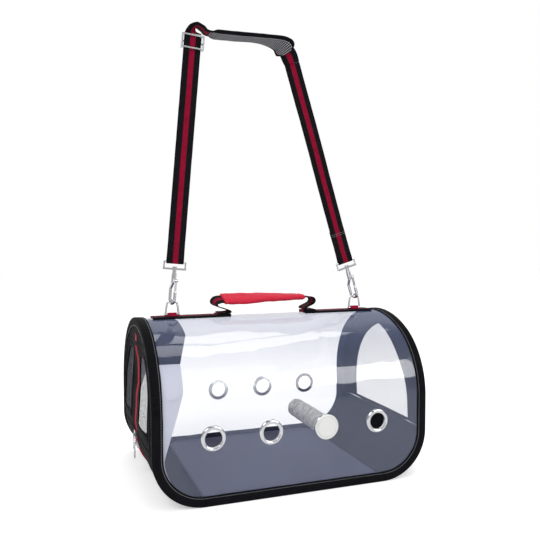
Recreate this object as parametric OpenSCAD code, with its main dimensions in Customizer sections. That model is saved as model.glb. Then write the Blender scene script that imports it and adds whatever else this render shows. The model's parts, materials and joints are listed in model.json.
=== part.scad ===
// Bird travel carrier: a clear sheet tunnel on a black base, bound edges, a zipped door end, a mesh end,
// eyelets, a perch, a carry handle and a shoulder strap on two swivel snap hooks.
// X runs along the bag, -Y is the front, the origin is on the ground under the middle of the bag.

/* [Bag] */
// Length of the bag, end face to end face
bag_l = 420; // [390:5:460]
// Width of the bag, front sheet to back sheet
bag_w = 280; // [264:4:296]
// Height of the sheet's ridge above the ground
bag_h = 246; // [236:2:260]
// Radius of the arch's two sides
side_r = 115; // [110:1:122]
// Radius of the arch's crown
crown_r = 165; // [155:1:180]
// Radius of the lower corners, seen from the front
corner_r = 71; // [62:1:71]
// Thickness of the clear sheet
sheet_t = 1; // [0.6:0.1:1.4]
// Thickness of the black end and bottom panels
panel_t = 1.6; // [1.2:0.1:2]
// Width of the bound edge on each face
bind_w = 13; // [10:0.5:16]
// Thickness of the bound edge
bind_t = 2; // [1.4:0.1:2.6]
// Thickness of the board on the floor
board_t = 4.4; // [3:0.2:6]
// Setback of the board from the end of the flat floor
board_in = 2; // [1:0.5:8]

/* [Eyelets] */
// Radius of the open eyelet
eyelet_r = 12.5; // [10:0.5:14]
// Wall of the eyelet's barrel
eyelet_wall = 1.3; // [1:0.1:1.6]
// Width of the eyelet's flange
flange_w = 5.5; // [4.5:0.5:7]
// Height of the flange's crown
flange_h = 1.6; // [1.2:0.1:2]
// Thickness of the washer behind the sheet
washer_t = 1; // [0.8:0.1:1.5]
// Distance between eyelets
eyelet_pitch = 85; // [78:1:90]
// Drop from the ridge to the eyelets' row
eyelet_drop = 152; // [142:1:162]

/* [Perch] */
// Radius of the perch stick
perch_r = 15; // [11:0.5:16]
// Length of the perch stick
perch_l = 113; // [90:1:150]
// Radius of the perch bolt
perch_bolt_r = 3; // [2.5:0.25:4]
// Radius of the bare cap outside
perch_cap_r = 18.5; // [18:0.5:22]
// Thickness of the cap and of the inner washer
perch_cap_t = 3; // [2:0.5:4]

/* [Door end] */
// Half width of the door opening
door_half = 118; // [110:1:119]
// Lower edge of the door
door_bottom = 76; // [76:1:84]
// Upper edge of the door
door_top = 207; // [196:1:207]
// Width of the frame between the arch and the door
door_rim = 20; // [18:1:26]
// Gap round each flap
door_gap = 0.4; // [0.3:0.05:0.8]
// Distance from the zip to the flap's mesh
flap_mesh_y = 35; // [28:1:45]
// Lower edge of the flap's mesh
flap_mesh_z = 95; // [90:1:110]
// Border of the flap outside its mesh
flap_border = 11; // [8:1:16]

/* [Zip] */
// Width of the tape on each side
tape_w = 5; // [4:0.5:7]
// Thickness of the tape
tape_t = 1; // [0.8:0.1:1.4]
// Size of a zip slider, along and across the zip
slider_s = 12; // [11:0.5:13]
// Thickness of a zip slider
slider_t = 3; // [2.5:0.25:3.5]
// Length of a pull from its pin
pull_l = 22; // [18:1:26]
// Radius of a pull's pin
pull_pin_r = 0.8; // [0.7:0.05:1]

/* [Mesh end] */
// Half width of the mesh window
mesh_half = 90; // [80:1:94]
// Lower edge of the mesh window
mesh_bottom = 77; // [76:1:84]
// Height where the window's pointed arch springs
mesh_spring = 100; // [96:1:110]
// Height of the window's point
mesh_top = 222; // [210:1:224]
// Thickness of a mesh panel
mesh_t = 0.8; // [0.6:0.1:1]
// Distance between the mesh cords
mesh_pitch = 12; // [11:0.5:16]
// Width of a mesh cord
mesh_cord = 3; // [2:0.25:4]

/* [Webbing] */
// Width of the webbing
web_w = 30; // [26:1:32]
// Thickness of one layer of webbing
web_t = 1.5; // [1.2:0.1:1.8]
// Distance from the bag's middle to the handle's feet
handle_half = 64; // [58:1:70]
// Length of a handle foot's sewn patch
foot_l = 20; // [16:1:26]
// Height of the handle's grip above the ridge webbing
handle_rise = 22; // [18:1:28]
// Thickness of the padded handle sleeve
sleeve_t = 8; // [6:0.5:9]

/* [Rings and hooks] */
// Setback of the left ring from the bag's left end
ring_left_in = 55; // [45:1:70]
// Setback of the right ring from the bag's right end
ring_right_in = 50; // [45:1:70]
// Radius of the ring wire
ring_wire = 1.6; // [1.4:0.1:1.8]
// Half width of the ring between its legs' middles
ring_half = 10.5; // [10:0.25:11]
// Height of the ring from its bar to its top
ring_rise = 22.5; // [20:0.5:25.5]
// Radius of the ring's round top
ring_top_r = 8.4; // [8.2:0.1:8.6]
// Width of the tab that holds the ring
tab_w = 14; // [10:0.5:14]
// Inner radius of the hook's bend
bend_r = 4.25; // [4:0.05:4.5]
// Radius of the hook's wire
hook_wire = 2.5; // [2.2:0.1:2.6]
// Radius of the hook's barrel
barrel_r = 4; // [3.8:0.1:4.2]
// Height of the eye's base plate above the ring's wire
eye_z = 47; // [46:0.5:52]
// Inner height of the hook's eye
eye_in_h = 8; // [7.5:0.5:10]
// Radius of the eye's bars
eye_bar = 1.3; // [1.1:0.1:1.5]
// Turn of the hook's plane from the bag's cross plane
hook_turn = 20; // [0:1:24]

/* [Shoulder strap] */
// Lean of the left leg towards the middle
lean_left = 5; // [4:0.5:7]
// Lean of the right leg towards the middle
lean_right = 17; // [16:0.5:18]
// Height of the left leg's upper end above the ground
left_top = 682; // [660:2:700]
// Height of the right leg's upper end above the ground
right_top = 652; // [630:2:666]
// Width of the shoulder pad
pad_w = 42; // [36:1:48]
// Thickness of the shoulder pad
pad_t = 8; // [6:0.5:9]
// Length of the sewn return on the right leg
return_l = 55; // [40:1:80]
// Height of the strap slider
glide_h = 22; // [18:1:26]

/* [Hidden] */
$fn = 48;

// Colours as the photograph shows them
col_clear = [0.78, 0.8, 0.88, 0.45];
col_black = [0.1, 0.1, 0.12];
col_red = [0.88, 0.25, 0.33];
col_crimson = [0.6, 0.08, 0.2];
col_chrome = [0.8, 0.81, 0.84];
col_white = [0.94, 0.94, 0.93];
col_perch = [0.55, 0.54, 0.52];

// Clearances: a running fit, a seat on a neighbour, and one between bodies
fit = 0.05;
seat = 0.05;
clear = 0.3;

// Bag outline
half_l = bag_l / 2;
half_w = bag_w / 2;
floor_z = bind_t;
side_y = half_w - side_r;
crown_z = bag_h - crown_r;
spring_z = crown_z + sqrt(pow(crown_r - side_r, 2) - pow(side_y, 2));
crown_angle = asin(side_y / (crown_r - side_r));
corner_x = half_l - corner_r;
corner_z = floor_z + corner_r;
reach = 2 * bag_h;
board_z = floor_z + panel_t;

// Eyelets along the front and the back
eyelet_x = [-1.5, -0.5, 0.5, 1.5] * eyelet_pitch;
eyelet_z = bag_h - eyelet_drop;
perch_x = eyelet_x[2];
barrel_out = eyelet_r + eyelet_wall;
hole_gap = 0.2;
hole_r = barrel_out + hole_gap;
flange_r = eyelet_r + flange_w;
crest_r = (pow(flange_w / 2, 2) + pow(flange_h, 2)) / (2 * flange_h);
barrel_roll = 0.4;
barrel_l = sheet_t + washer_t + barrel_roll;

// Perch, from the sheet inwards
cap_y = -half_w - flange_h - clear;
perch_washer_y = -half_w + barrel_l + clear;
perch_y = perch_washer_y + perch_cap_t;
perch_round = 6;
bolt_in = 30;

// Door, zip and mesh
door_face = -half_l;
tape_face = door_face - tape_t;
slider_gap = clear;
slider_z = door_bottom - slider_s / 2;
lower_angle = 15;
tail_angle = 45;
pull_t = 1.6;
pull_w = 6;
pull_out = slider_t + 1.8;
ear_t = 0.8;
boss_w = 4;
pull_y = 3.6;
boss_r = 1.7;
neck_l = 2.6;
stop_gap = 3;
stop_z = door_top + slider_s + stop_gap;
lower_r = corner_r + tape_t + 2 * slider_gap;
lower_pin_x = -corner_x - (lower_r + pull_out) * cos(lower_angle);
lower_pin_z = corner_z - (lower_r + pull_out) * sin(lower_angle);
mesh_r = (pow(mesh_half, 2) + pow(mesh_top - mesh_spring, 2)) / (2 * mesh_half);
mesh_cy = mesh_r - mesh_half;

// Ridge and handle
ridge_z = bag_h + 2 * web_t;
ridge_in = 24;
ridge_out = half_l - ridge_in;
ring_left_x = half_l - ring_left_in;
ring_right_x = half_l - ring_right_in;
foot_top = ridge_z + web_t;
tilt_z = foot_top + clear;
grip_z = foot_top + handle_rise;
sleeve_over = 10;
sleeve_half = handle_half + sleeve_over;
// Handle's left end: X, Z, turn, half width, from the foot to the grip
handle_end = [
    for (q = [[0, 0.5], [3, 5], [14, 8], [25, 12], [27, 17], [22, 21],
            [14, handle_rise - clear], [8, handle_rise - clear]])
        [-handle_half - q[0], tilt_z + q[1], 90, min(web_w / 2, 0.7 + 1.6 * q[1])]];
handle_curve = smooth(handle_end, 3);
handle_path = concat(handle_curve, [for (i = [len(handle_curve) - 1 : -1 : 0])
    [-handle_curve[i][0], handle_curve[i][1], 90, handle_curve[i][3]]]);

// Rings and hooks
bar_z = ridge_z + clear + ring_wire;
ring_apex = bar_z + ring_rise;
ring_reach = norm([ring_half, ring_rise - ring_top_r]);
ring_lean = atan(ring_half / (ring_rise - ring_top_r)) - asin(ring_top_r / ring_reach);
ring_leg = sqrt(pow(ring_reach, 2) - pow(ring_top_r, 2));
ring_bead = 0.12;
tab_in = ring_wire + clear;
tab_t = 1.2;
tab_foot = 8;
hook_slack = 0.8;
bend_c = bend_r - ring_wire - hook_slack;
hook_u = bend_r + hook_wire;
barrel_z = 27;
hook_barrel = 14;
collar_r = 3.2;
shank_z = 18;
slant = atan(hook_u / (barrel_z + 2 - shank_z));
slant_l = norm([hook_u, barrel_z + 2 - shank_z]);
pivot_z = 30.5;
bill_z = 12;
pin_r = 1;
gate_t = 3;
gate_half = 1.3;
gate_boss = 2.3;
gate_foot = bill_z + hook_wire + clear + gate_half;
ear_w = 1.4;
boss_out = 2.3;
neck_r = 2.2;
head_r = 3.6;
head_t = 2;
eye_half = web_w / 2 + 0.4 + eye_bar;
eye_t = 3;
eye_bar_z = eye_z + eye_t + eye_in_h + eye_bar;
wrap_in = eye_bar + clear;
wrap_out = wrap_in + web_t;
wrap_rise = 16;
wrap_lap = 0.4;

// Strap: lengths along the legs, and the run over the shoulder
left_len = (left_top - ring_apex) / cos(lean_left);
right_len = (right_top - ring_apex) / cos(lean_right);
left_x = -ring_left_x + left_len * sin(lean_left);
right_x = ring_right_x - right_len * sin(lean_right);
strap_mid = (left_x + right_x) / 2;
layer_gap = 0.1;
glide_z = left_len - 1 - glide_h / 2;
glide_bar = 2.4;
glide_y = layer_gap / 2 + web_t + clear + glide_bar;
// Over the shoulder: X, Z, turn of the webbing from facing front (0) to lying flat (90)
strap_points = [
    [left_x, left_top + 3 * clear, 0], [left_x + 0.8, left_top + 8, 50], [left_x + 6, left_top + 14, 88],
    [left_x + 15, left_top + 10, 90], [left_x + 25, left_top + 4, 90], [strap_mid - 15, left_top + 4, 90],
    [strap_mid + 25, left_top + 5, 90], [right_x - 27, right_top + 32, 78],
    [right_x - 15, right_top + 26, 60], [right_x - 7, right_top + 16, 38],
    [right_x - 2, right_top + 6, 12], [right_x, right_top + clear, 0]];
strap_steps = 4;
strap_path = [for (p = smooth(strap_points, strap_steps)) [p[0], p[1], p[2], web_w / 2]];
pad_first = 4 * strap_steps;
pad_last = 9 * strap_steps;

// Point of a smooth curve through the list p, between p[i] and p[i + 1]
function smooth_point(p, i, t) =
    let (n = len(p) - 1, a = p[max(i - 1, 0)], b = p[i], c = p[i + 1], d = p[min(i + 2, n)])
    0.5 * (2 * b + t * (c - a) + t * t * (2 * a - 5 * b + 4 * c - d)
        + t * t * t * (3 * b - a - 3 * c + d));

// The whole curve, with steps points in each stretch
function smooth(p, steps) = [
    for (i = [0 : len(p) - 2], s = [0 : steps - 1]) smooth_point(p, i, s / steps), p[len(p) - 1]];

// Direction of a curve in the X-Z plane at point i
function heading(p, i) =
    let (a = p[max(i - 1, 0)], b = p[min(i + 1, len(p) - 1)], v = [b[0] - a[0], b[1] - a[1]])
    v / norm(v);

// Corners of a flat section, w half wide and h half thick, its corners cut by c
function section(w, h, c) = c == 0
    ? [[w, h], [-w, h], [-w, -h], [w, -h]]
    : [[w - c, h], [c - w, h], [-w, h - c], [-w, c - h], [c - w, -h], [w - c, -h], [w, c - h], [w, h - c]];

// Section of a ribbon at point i of its path; a point is [x, z, turn, half width]
function ribbon_ring(p, i, h, c) =
    let (d = heading(p, i), side = [d[1], -d[0]], a = p[i][2],
        across = [cos(a) * side[0], sin(a), cos(a) * side[1]],
        through = [-sin(a) * side[0], cos(a), -sin(a) * side[1]])
    [for (q = section(p[i][3], h, c)) [p[i][0], 0, p[i][1]] + q[0] * across + q[1] * through];

// Ribbon along a path, 2 h thick
module ribbon(p, h, c = 0) {
    rings = [for (i = [0 : len(p) - 1]) ribbon_ring(p, i, h, c)];
    n = len(rings[0]);
    top = (len(rings) - 1) * n;
    sides = [for (i = [0 : len(rings) - 2], j = [0 : n - 1])
        let (a = i * n + j, b = i * n + (j + 1) % n)
        each [[a, b + n, b], [a, a + n, b + n]]];
    caps = [for (j = [1 : n - 2]) each [[0, j, j + 1], [top, top + j + 1, top + j]]];
    polyhedron([for (r = rings) each r], concat(sides, caps));
}

// Ribbon along path p, 2 h thick, with a slot along path q, 2 g thick
module slotted_ribbon(p, h, c, q, g) {
    outer = [for (i = [0 : len(p) - 1]) ribbon_ring(p, i, h, c)];
    inner = [for (i = [0 : len(q) - 1]) ribbon_ring(q, i, g, g / 2)];
    n = len(outer[0]);
    top = (len(outer) - 1) * n;
    all = len(outer) * n;
    sides = [for (i = [0 : len(outer) - 2], j = [0 : n - 1])
        let (a = i * n + j, b = i * n + (j + 1) % n)
        each [[a, b + n, b], [a, a + n, b + n],
            [all + a, all + b, all + b + n], [all + a, all + b + n, all + a + n]]];
    ends = [for (j = [0 : n - 1]) let (k = (j + 1) % n)
        each [[j, all + k, all + j], [j, k, all + k],
            [top + j, all + top + j, all + top + k], [top + j, all + top + k, top + k]]];
    polyhedron(concat([for (r = outer) each r], [for (r = inner) each r]), concat(sides, ends));
}

// Rectangle from its lower and upper corner
module rect(x0, x1, z0, z1) {
    translate([x0, z0]) square([x1 - x0, z1 - z0]);
}

// Solid from x0 to x1 with a profile drawn in Y and Z
module along_x(x0, x1) {
    translate([x0, 0, 0]) rotate([90, 0, 90]) linear_extrude(x1 - x0) children();
}

// Solid from y0 to y1 with a profile drawn in X and Z
module along_y(y0, y1) {
    translate([0, y1, 0]) rotate([90, 0, 0]) linear_extrude(y1 - y0) children();
}

// Rod along Y
module pin_y(r, y0, y1) {
    translate([0, y0, 0]) rotate([-90, 0, 0]) cylinder(r = r, h = y1 - y0);
}

// The bag's outline seen from its end, k larger all round, open below
module arch2d(k = 0) {
    rect(-half_w - k, half_w + k, -bag_h, spring_z);
    for (s = [-1, 1]) translate([s * side_y, spring_z]) circle(side_r + k, $fn = 120);
    intersection() {
        translate([0, crown_z]) circle(crown_r + k, $fn = 120);
        polygon([[0, crown_z], [-reach * tan(crown_angle), crown_z + reach],
            [reach * tan(crown_angle), crown_z + reach]]);
    }
}

// The bag's outline seen from the front, k larger all round, open above
module front2d(k = 0) {
    rect(-half_l - k, half_l + k, corner_z, reach);
    rect(-corner_x, corner_x, floor_z - k, corner_z + 1);
    for (s = [-1, 1]) translate([s * corner_x, corner_z]) circle(corner_r + k, $fn = 120);
}

module clear_sheet() {
    color(col_clear) difference() {
        intersection() {
            along_x(-half_l, half_l) difference() {
                arch2d();
                arch2d(-sheet_t);
            }
            along_y(-half_w, half_w) front2d();
        }
        for (x = eyelet_x) translate([x, 0, eyelet_z]) pin_y(hole_r, -half_w - 1, half_w + 1);
    }
}

// Floor with both turned-up ends, and the flat field that the bag stands on
module bottom_panel() {
    color(col_black) {
        along_y(-half_w + sheet_t, half_w - sheet_t) difference() {
            intersection() {
                front2d();
                rect(-half_l, half_l, 0, corner_z);
            }
            front2d(-panel_t);
        }
        translate([-corner_x, bind_w + clear - half_w, 0])
            cube([2 * corner_x, bag_w - 2 * (bind_w + clear), floor_z]);
    }
}

module base_board() {
    color(col_black) translate([board_in - corner_x, sheet_t + clear - half_w, board_z])
        cube([2 * (corner_x - board_in), bag_w - 2 * (sheet_t + clear), board_t]);
}

// Upper part of an end wall, seen from the end
module end_wall2d() {
    intersection() {
        arch2d(-sheet_t);
        rect(-half_w, half_w, corner_z, reach);
    }
}

// Door opening, k smaller all round
module door2d(k = 0) {
    intersection() {
        arch2d(-door_rim - k);
        rect(k - door_half, door_half - k, door_bottom + k, door_top - k);
    }
}

module left_end_frame() {
    color(col_black) along_x(-half_l, panel_t - half_l) difference() {
        end_wall2d();
        door2d();
    }
}

// Pointed window of the far end, k smaller all round
module point_window2d(k = 0) {
    rect(k - mesh_half, mesh_half - k, mesh_bottom + k, mesh_spring);
    intersection() {
        translate([mesh_cy, mesh_spring]) circle(mesh_r - k, $fn = 120);
        translate([-mesh_cy, mesh_spring]) circle(mesh_r - k, $fn = 120);
        rect(-mesh_half, mesh_half, mesh_spring, reach);
    }
}

// Square gaps of a net
module net_gaps2d(y0, y1, z0, z1) {
    gap = mesh_pitch - mesh_cord;
    for (y = [y0 : mesh_pitch : y1 - gap], z = [z0 : mesh_pitch : z1 - gap])
        translate([y, z]) square(gap);
}

module right_end_panel() {
    color(col_black) along_x(half_l - panel_t, half_l) difference() {
        end_wall2d();
        point_window2d();
    }
}

module right_mesh() {
    color(col_black) along_x(half_l - mesh_t - seat, half_l - seat) difference() {
        point_window2d(seat);
        intersection() {
            point_window2d(mesh_cord);
            net_gaps2d(mesh_cord - mesh_half, mesh_half, mesh_bottom + mesh_cord, mesh_top);
        }
    }
}

// The bound edges all round, as one skin over the four long seams
module binding_skin() {
    difference() {
        intersection() {
            along_x(-half_l - bind_t, half_l + bind_t) arch2d(bind_t);
            along_y(-half_w - bind_t, half_w + bind_t) front2d(bind_t);
        }
        intersection() {
            along_x(-half_l, half_l) arch2d();
            along_y(-half_w, half_w) front2d();
        }
        along_x(-bag_l, bag_l) arch2d(-bind_w);
        along_y(-bag_w, bag_w) front2d(-bind_w);
    }
}

// Box that keeps one stretch of the bound edges
module keep(x0, x1, y0, y1) {
    intersection() {
        binding_skin();
        translate([x0, y0, -1]) cube([x1 - x0, y1 - y0, reach]);
    }
}

module binding_left() {
    color(col_black) keep(-bag_l, -corner_x, -bag_w, bag_w);
}

module binding_right() {
    color(col_black) keep(corner_x, bag_l, -bag_w, bag_w);
}

module binding_front() {
    color(col_black) keep(-corner_x, corner_x, -bag_w, 0);
}

module binding_back() {
    color(col_black) keep(-corner_x, corner_x, 0, bag_w);
}

// Stretch of the tape from the door's foot down round the lower corner
module corner_tape2d(r0, r1, a0, a1) {
    translate([-corner_x, corner_z]) intersection() {
        difference() {
            circle(r1, $fn = 120);
            circle(r0, $fn = 120);
        }
        polygon([[0, 0], -reach * [cos(a0), sin(a0)], -reach * [cos(a1), sin(a1)]]);
    }
}

module zip_tail() {
    color(col_red) along_y(-tape_w, tape_w) {
        corner_tape2d(corner_r, corner_r + tape_t, 0, tail_angle);
        rect(tape_face, door_face, corner_z, door_bottom);
    }
}

module zip_top_stop() {
    color(col_red) along_x(tape_face, door_face)
        rect(-tape_w, tape_w, door_top, stop_z);
    color(col_chrome) along_x(tape_face - tape_t, door_face)
        rect(-tape_w / 2, tape_w / 2, stop_z, stop_z + 2 * tape_t);
}

// Eyelet seen from outside: flange with a round crown, barrel through the sheet
module eyelet() {
    rotate([90, 0, 0]) rotate_extrude($fn = 96) {
        intersection() {
            translate([eyelet_r + flange_w / 2, flange_h - crest_r]) circle(crest_r);
            translate([eyelet_r, 0]) square([flange_w, flange_h]);
        }
        translate([eyelet_r, -barrel_l]) square([eyelet_wall, barrel_l + flange_h / 2]);
    }
}

// Flat ring behind the sheet
module eyelet_washer() {
    rotate([-90, 0, 0]) translate([0, 0, sheet_t]) difference() {
        cylinder(r = flange_r, h = washer_t);
        translate([0, 0, -1]) cylinder(r = barrel_out + seat, h = washer_t + 2);
    }
}

// Places its children at each eyelet of the front
module at_front_eyelets() {
    for (x = eyelet_x) translate([x, -half_w, eyelet_z]) children();
}

// Places its children at each eyelet of the back
module at_back_eyelets() {
    for (x = eyelet_x) translate([x, half_w, eyelet_z]) rotate([0, 0, 180]) children();
}

module front_eyelets() {
    color(col_chrome) at_front_eyelets() eyelet();
}

module front_eyelet_washers() {
    color(col_chrome) at_front_eyelets() eyelet_washer();
}

module back_eyelets() {
    color(col_chrome) at_back_eyelets() eyelet();
}

module back_eyelet_washers() {
    color(col_chrome) at_back_eyelets() eyelet_washer();
}

// Stick with a rounded inner end, bored for its bolt
module perch() {
    color(col_perch) translate([perch_x, perch_y, eyelet_z]) rotate([-90, 0, 0]) difference() {
        rotate_extrude() {
            square([perch_r - perch_round, perch_l]);
            square([perch_r, perch_l - perch_round]);
            translate([perch_r - perch_round, perch_l - perch_round]) circle(perch_round);
        }
        translate([0, 0, -1]) cylinder(r = perch_bolt_r + fit, h = bolt_in + 2);
    }
}

module perch_bolt() {
    color(col_chrome) translate([perch_x, 0, eyelet_z])
        pin_y(perch_bolt_r, cap_y - perch_cap_t / 2, perch_y + bolt_in);
}

// Bare disc outside, with a boss that fills the eyelet
module perch_cap() {
    color(col_white) translate([perch_x, 0, eyelet_z]) difference() {
        union() {
            pin_y(perch_cap_r, cap_y - perch_cap_t, cap_y);
            pin_y(eyelet_r - clear, cap_y - seat, perch_washer_y - seat);
        }
        pin_y(perch_bolt_r + fit, cap_y - perch_cap_t / 2 - seat, perch_washer_y + 1);
    }
}

module perch_washer() {
    color(col_chrome) translate([perch_x, 0, eyelet_z]) difference() {
        pin_y(flange_r - 1, perch_washer_y, perch_y);
        pin_y(perch_bolt_r + fit, perch_washer_y - 1, perch_y + 1);
    }
}

// Webbing laid over the arch's crown, between two layers' heights
module over_crown(x0, x1, h0, h1, w = web_w) {
    along_x(x0, x1) intersection() {
        translate([0, crown_z]) difference() {
            circle(crown_r + h1, $fn = 120);
            circle(crown_r + h0, $fn = 120);
        }
        rect(-w / 2, w / 2, crown_z, reach);
    }
}

// Ridge webbing with a crimson stripe woven into its upper layer
module ridge_webbing(x0, x1) {
    color(col_black) over_crown(x0, x1, 0, web_t);
    color(col_crimson) over_crown(x0, x1, web_t, 2 * web_t);
}

module ridge_webbing_left() {
    ridge_webbing(-ridge_out, -handle_half);
}

module ridge_webbing_right() {
    ridge_webbing(handle_half, ridge_out);
}

module handle_foot_left() {
    color(col_black) over_crown(-handle_half - foot_l, -handle_half, 2 * web_t, 3 * web_t);
}

module handle_foot_right() {
    color(col_black) over_crown(handle_half, handle_half + foot_l, 2 * web_t, 3 * web_t);
}

// Folded tab that holds the ring's bar, seen along the bar
module ring_tab(x) {
    color(col_black) along_x(x - tab_w / 2, x + tab_w / 2) translate([0, bar_z]) difference() {
        union() {
            circle(tab_in + tab_t);
            rect(-tab_in - tab_t, tab_in + tab_t, ridge_z - bar_z, 0);
            rect(-tab_foot, tab_foot, ridge_z - bar_z, ridge_z - bar_z + tab_t);
        }
        circle(tab_in);
        rect(-tab_foot, tab_foot, -bar_z, ridge_z - bar_z);
        rect(-tab_in, tab_in, ridge_z - bar_z - 1, 0);
    }
}

module ring_tab_left() {
    ring_tab(-ring_left_x);
}

module ring_tab_right() {
    ring_tab(ring_right_x);
}

module flap2d() {
    intersection() {
        door2d(door_gap);
        rect(-half_w, -door_gap / 2, 0, reach);
    }
}

// Mesh window of the front flap, k smaller all round
module flap_window2d(k = 0) {
    intersection() {
        arch2d(-door_rim - flap_border - k);
        rect(flap_border + k - door_half, -flap_mesh_y - k, flap_mesh_z + k, door_top - flap_border - k);
    }
}

module front_flap() {
    color(col_black) along_x(-half_l, panel_t - half_l) difference() {
        flap2d();
        flap_window2d();
    }
}

module front_flap_mesh() {
    color(col_black) along_x(seat - half_l, seat + mesh_t - half_l) difference() {
        flap_window2d(seat);
        intersection() {
            flap_window2d(mesh_cord);
            net_gaps2d(flap_border + mesh_cord - door_half, -flap_mesh_y, flap_mesh_z + mesh_cord, door_top);
        }
    }
}

// Tape on the flap's free edge
module zip_tape_front() {
    color(col_red) along_x(tape_face, door_face) intersection() {
        flap2d();
        rect(-door_gap / 2 - tape_w, 0, 0, reach);
    }
}

module back_flap() {
    mirror([0, 1, 0]) front_flap();
}

module back_flap_mesh() {
    mirror([0, 1, 0]) front_flap_mesh();
}

module zip_tape_back() {
    mirror([0, 1, 0]) zip_tape_front();
}

// Slider of the zip: outwards is +X, along the zip is +Z; side is where its pull hangs
module zip_slider(side) {
    color(col_chrome) {
        along_x(0, slider_t) intersection() {
            square(slider_s, center = true);
            circle(0.6 * slider_s);
        }
        for (s = [-1, 1]) translate([0, side * pull_y + s * (boss_w / 2 + 0.1 + ear_t / 2), 0])
            along_y(-ear_t / 2, ear_t / 2) {
                rect(slider_t - seat, pull_out, -2 * pull_pin_r, 2 * pull_pin_r);
                translate([pull_out, 0]) circle(2 * pull_pin_r);
            }
        translate([pull_out, side * pull_y, 0]) pin_y(pull_pin_r, -boss_w / 2 - ear_t, boss_w / 2 + ear_t);
    }
}

// Pull hanging from its pin: a neck between the ears, a wider tongue with a hole
module zip_pull(side) {
    color(col_chrome) translate([0, side * pull_y, 0]) difference() {
        union() {
            pin_y(boss_r, -boss_w / 2, boss_w / 2);
            along_x(-pull_t / 2, pull_t / 2) {
                rect(-boss_w / 2, boss_w / 2, -neck_l, 0);
                rect(-pull_w / 2, pull_w / 2, -pull_l + pull_w / 2, -neck_l);
                translate([0, -pull_l + pull_w / 2]) circle(pull_w / 2);
            }
        }
        pin_y(pull_pin_r + fit, -pull_w, pull_w);
        along_x(-pull_t, pull_t) translate([0, -pull_l + pull_w / 2]) circle(pull_w / 4);
    }
}

// Places its children on the upper slider's seat
module at_upper() {
    translate([tape_face - slider_gap, 0, slider_z]) mirror([1, 0, 0]) children();
}

// Places its children on the lower slider's seat, on the round corner
module at_lower() {
    translate([-corner_x, 0, corner_z]) rotate([0, -lower_angle, 0])
        translate([-lower_r, 0, 0]) mirror([1, 0, 0]) children();
}

module zip_slider_upper() {
    at_upper() zip_slider(-1);
}

module zip_slider_lower() {
    at_lower() zip_slider(1);
}

module zip_pull_upper() {
    translate([tape_face - slider_gap - pull_out, 0, slider_z]) zip_pull(-1);
}

module zip_pull_lower() {
    translate([lower_pin_x, 0, lower_pin_z]) zip_pull(1);
}

module handle_webbing() {
    color(col_black) ribbon(handle_path, web_t / 2);
}

// Padded sleeve over the handle's grip
module handle_sleeve() {
    color(col_red) along_x(-sleeve_half, sleeve_half) translate([0, grip_z]) difference() {
        union() {
            rect(-web_w / 2, web_w / 2, -sleeve_t / 2, sleeve_t / 2);
            for (s = [-1, 1]) translate([s * web_w / 2, 0]) circle(sleeve_t / 2);
        }
        rect(-web_w / 2 - clear, web_w / 2 + clear, -web_t / 2 - clear, web_t / 2 + clear);
    }
}

// Ring with its bar along X through the origin, and legs that lean in to a round top
module d_ring() {
    color(col_chrome) {
        rotate([0, 90, 0]) cylinder(r = ring_wire, h = 2 * ring_half, center = true);
        for (s = [-1, 1]) translate([s * ring_half, 0, 0]) {
            rotate([0, -s * ring_lean, 0]) {
                cylinder(r = ring_wire, h = ring_leg);
                translate([0, 0, ring_leg]) sphere(ring_wire + ring_bead);
            }
            sphere(ring_wire);
        }
        translate([0, 0, ring_rise - ring_top_r]) rotate([90, -ring_lean, 0])
            rotate_extrude(angle = 180 - 2 * ring_lean) translate([ring_top_r, 0]) circle(ring_wire);
    }
}

module d_ring_left() {
    translate([-ring_left_x, 0, bar_z]) d_ring();
}

module d_ring_right() {
    translate([ring_right_x, 0, bar_z]) d_ring();
}

// Frame of the left hook and leg: origin at the ring's top, +Z up the leg
module at_left() {
    translate([-ring_left_x, 0, ring_apex]) rotate([0, lean_left, 0]) children();
}

// Frame of the right hook and leg
module at_right() {
    translate([ring_right_x, 0, ring_apex]) rotate([0, -lean_right, 0]) children();
}

// Swivelling body of a snap hook, drawn with its bend in the X-Z plane
module hook_body() {
    color(col_chrome) rotate([0, 0, 90 + hook_turn]) difference() {
        union() {
            translate([0, 0, bend_c]) rotate([-90, 0, 0]) rotate_extrude(angle = 180)
                translate([hook_u, 0]) circle(hook_wire);
            translate([-hook_u, 0, bend_c]) cylinder(r = hook_wire, h = bill_z - bend_c);
            translate([-hook_u, 0, bill_z]) sphere(hook_wire);
            translate([hook_u, 0, bend_c]) cylinder(r = hook_wire, h = shank_z - bend_c);
            translate([hook_u, 0, shank_z]) sphere(hook_wire);
            translate([hook_u, 0, shank_z]) rotate([0, -slant, 0]) cylinder(r = hook_wire, h = slant_l);
            cylinder_from(barrel_z, barrel_r, hook_barrel);
            cylinder_from(barrel_z + hook_barrel - 1, collar_r, eye_z - clear - barrel_z - hook_barrel + 1);
            cylinder_from(eye_z - 1, neck_r, eye_t + 1 + clear);
            cylinder_from(eye_z + eye_t + clear / 2, head_r, head_t);
            for (s = [-1, 1]) translate([0, s * (gate_t / 2 + 0.15 + ear_w / 2), pivot_z])
                along_y(-ear_w / 2, ear_w / 2) {
                    translate([-hook_u, 0]) circle(boss_out);
                    rect(-hook_u, 0, -boss_out, boss_out);
                }
        }
        translate([-hook_u, 0, pivot_z]) pin_y(pin_r + 0.02, -barrel_r - 1, barrel_r + 1);
    }
}

// Upright cylinder from height z
module cylinder_from(z, r, h) {
    translate([0, 0, z]) cylinder(r = r, h = h);
}

module gate_pin() {
    color(col_chrome) rotate([0, 0, 90 + hook_turn]) translate([-hook_u, 0, pivot_z])
        pin_y(pin_r, -gate_t / 2 - ear_w, gate_t / 2 + ear_w);
}

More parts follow.
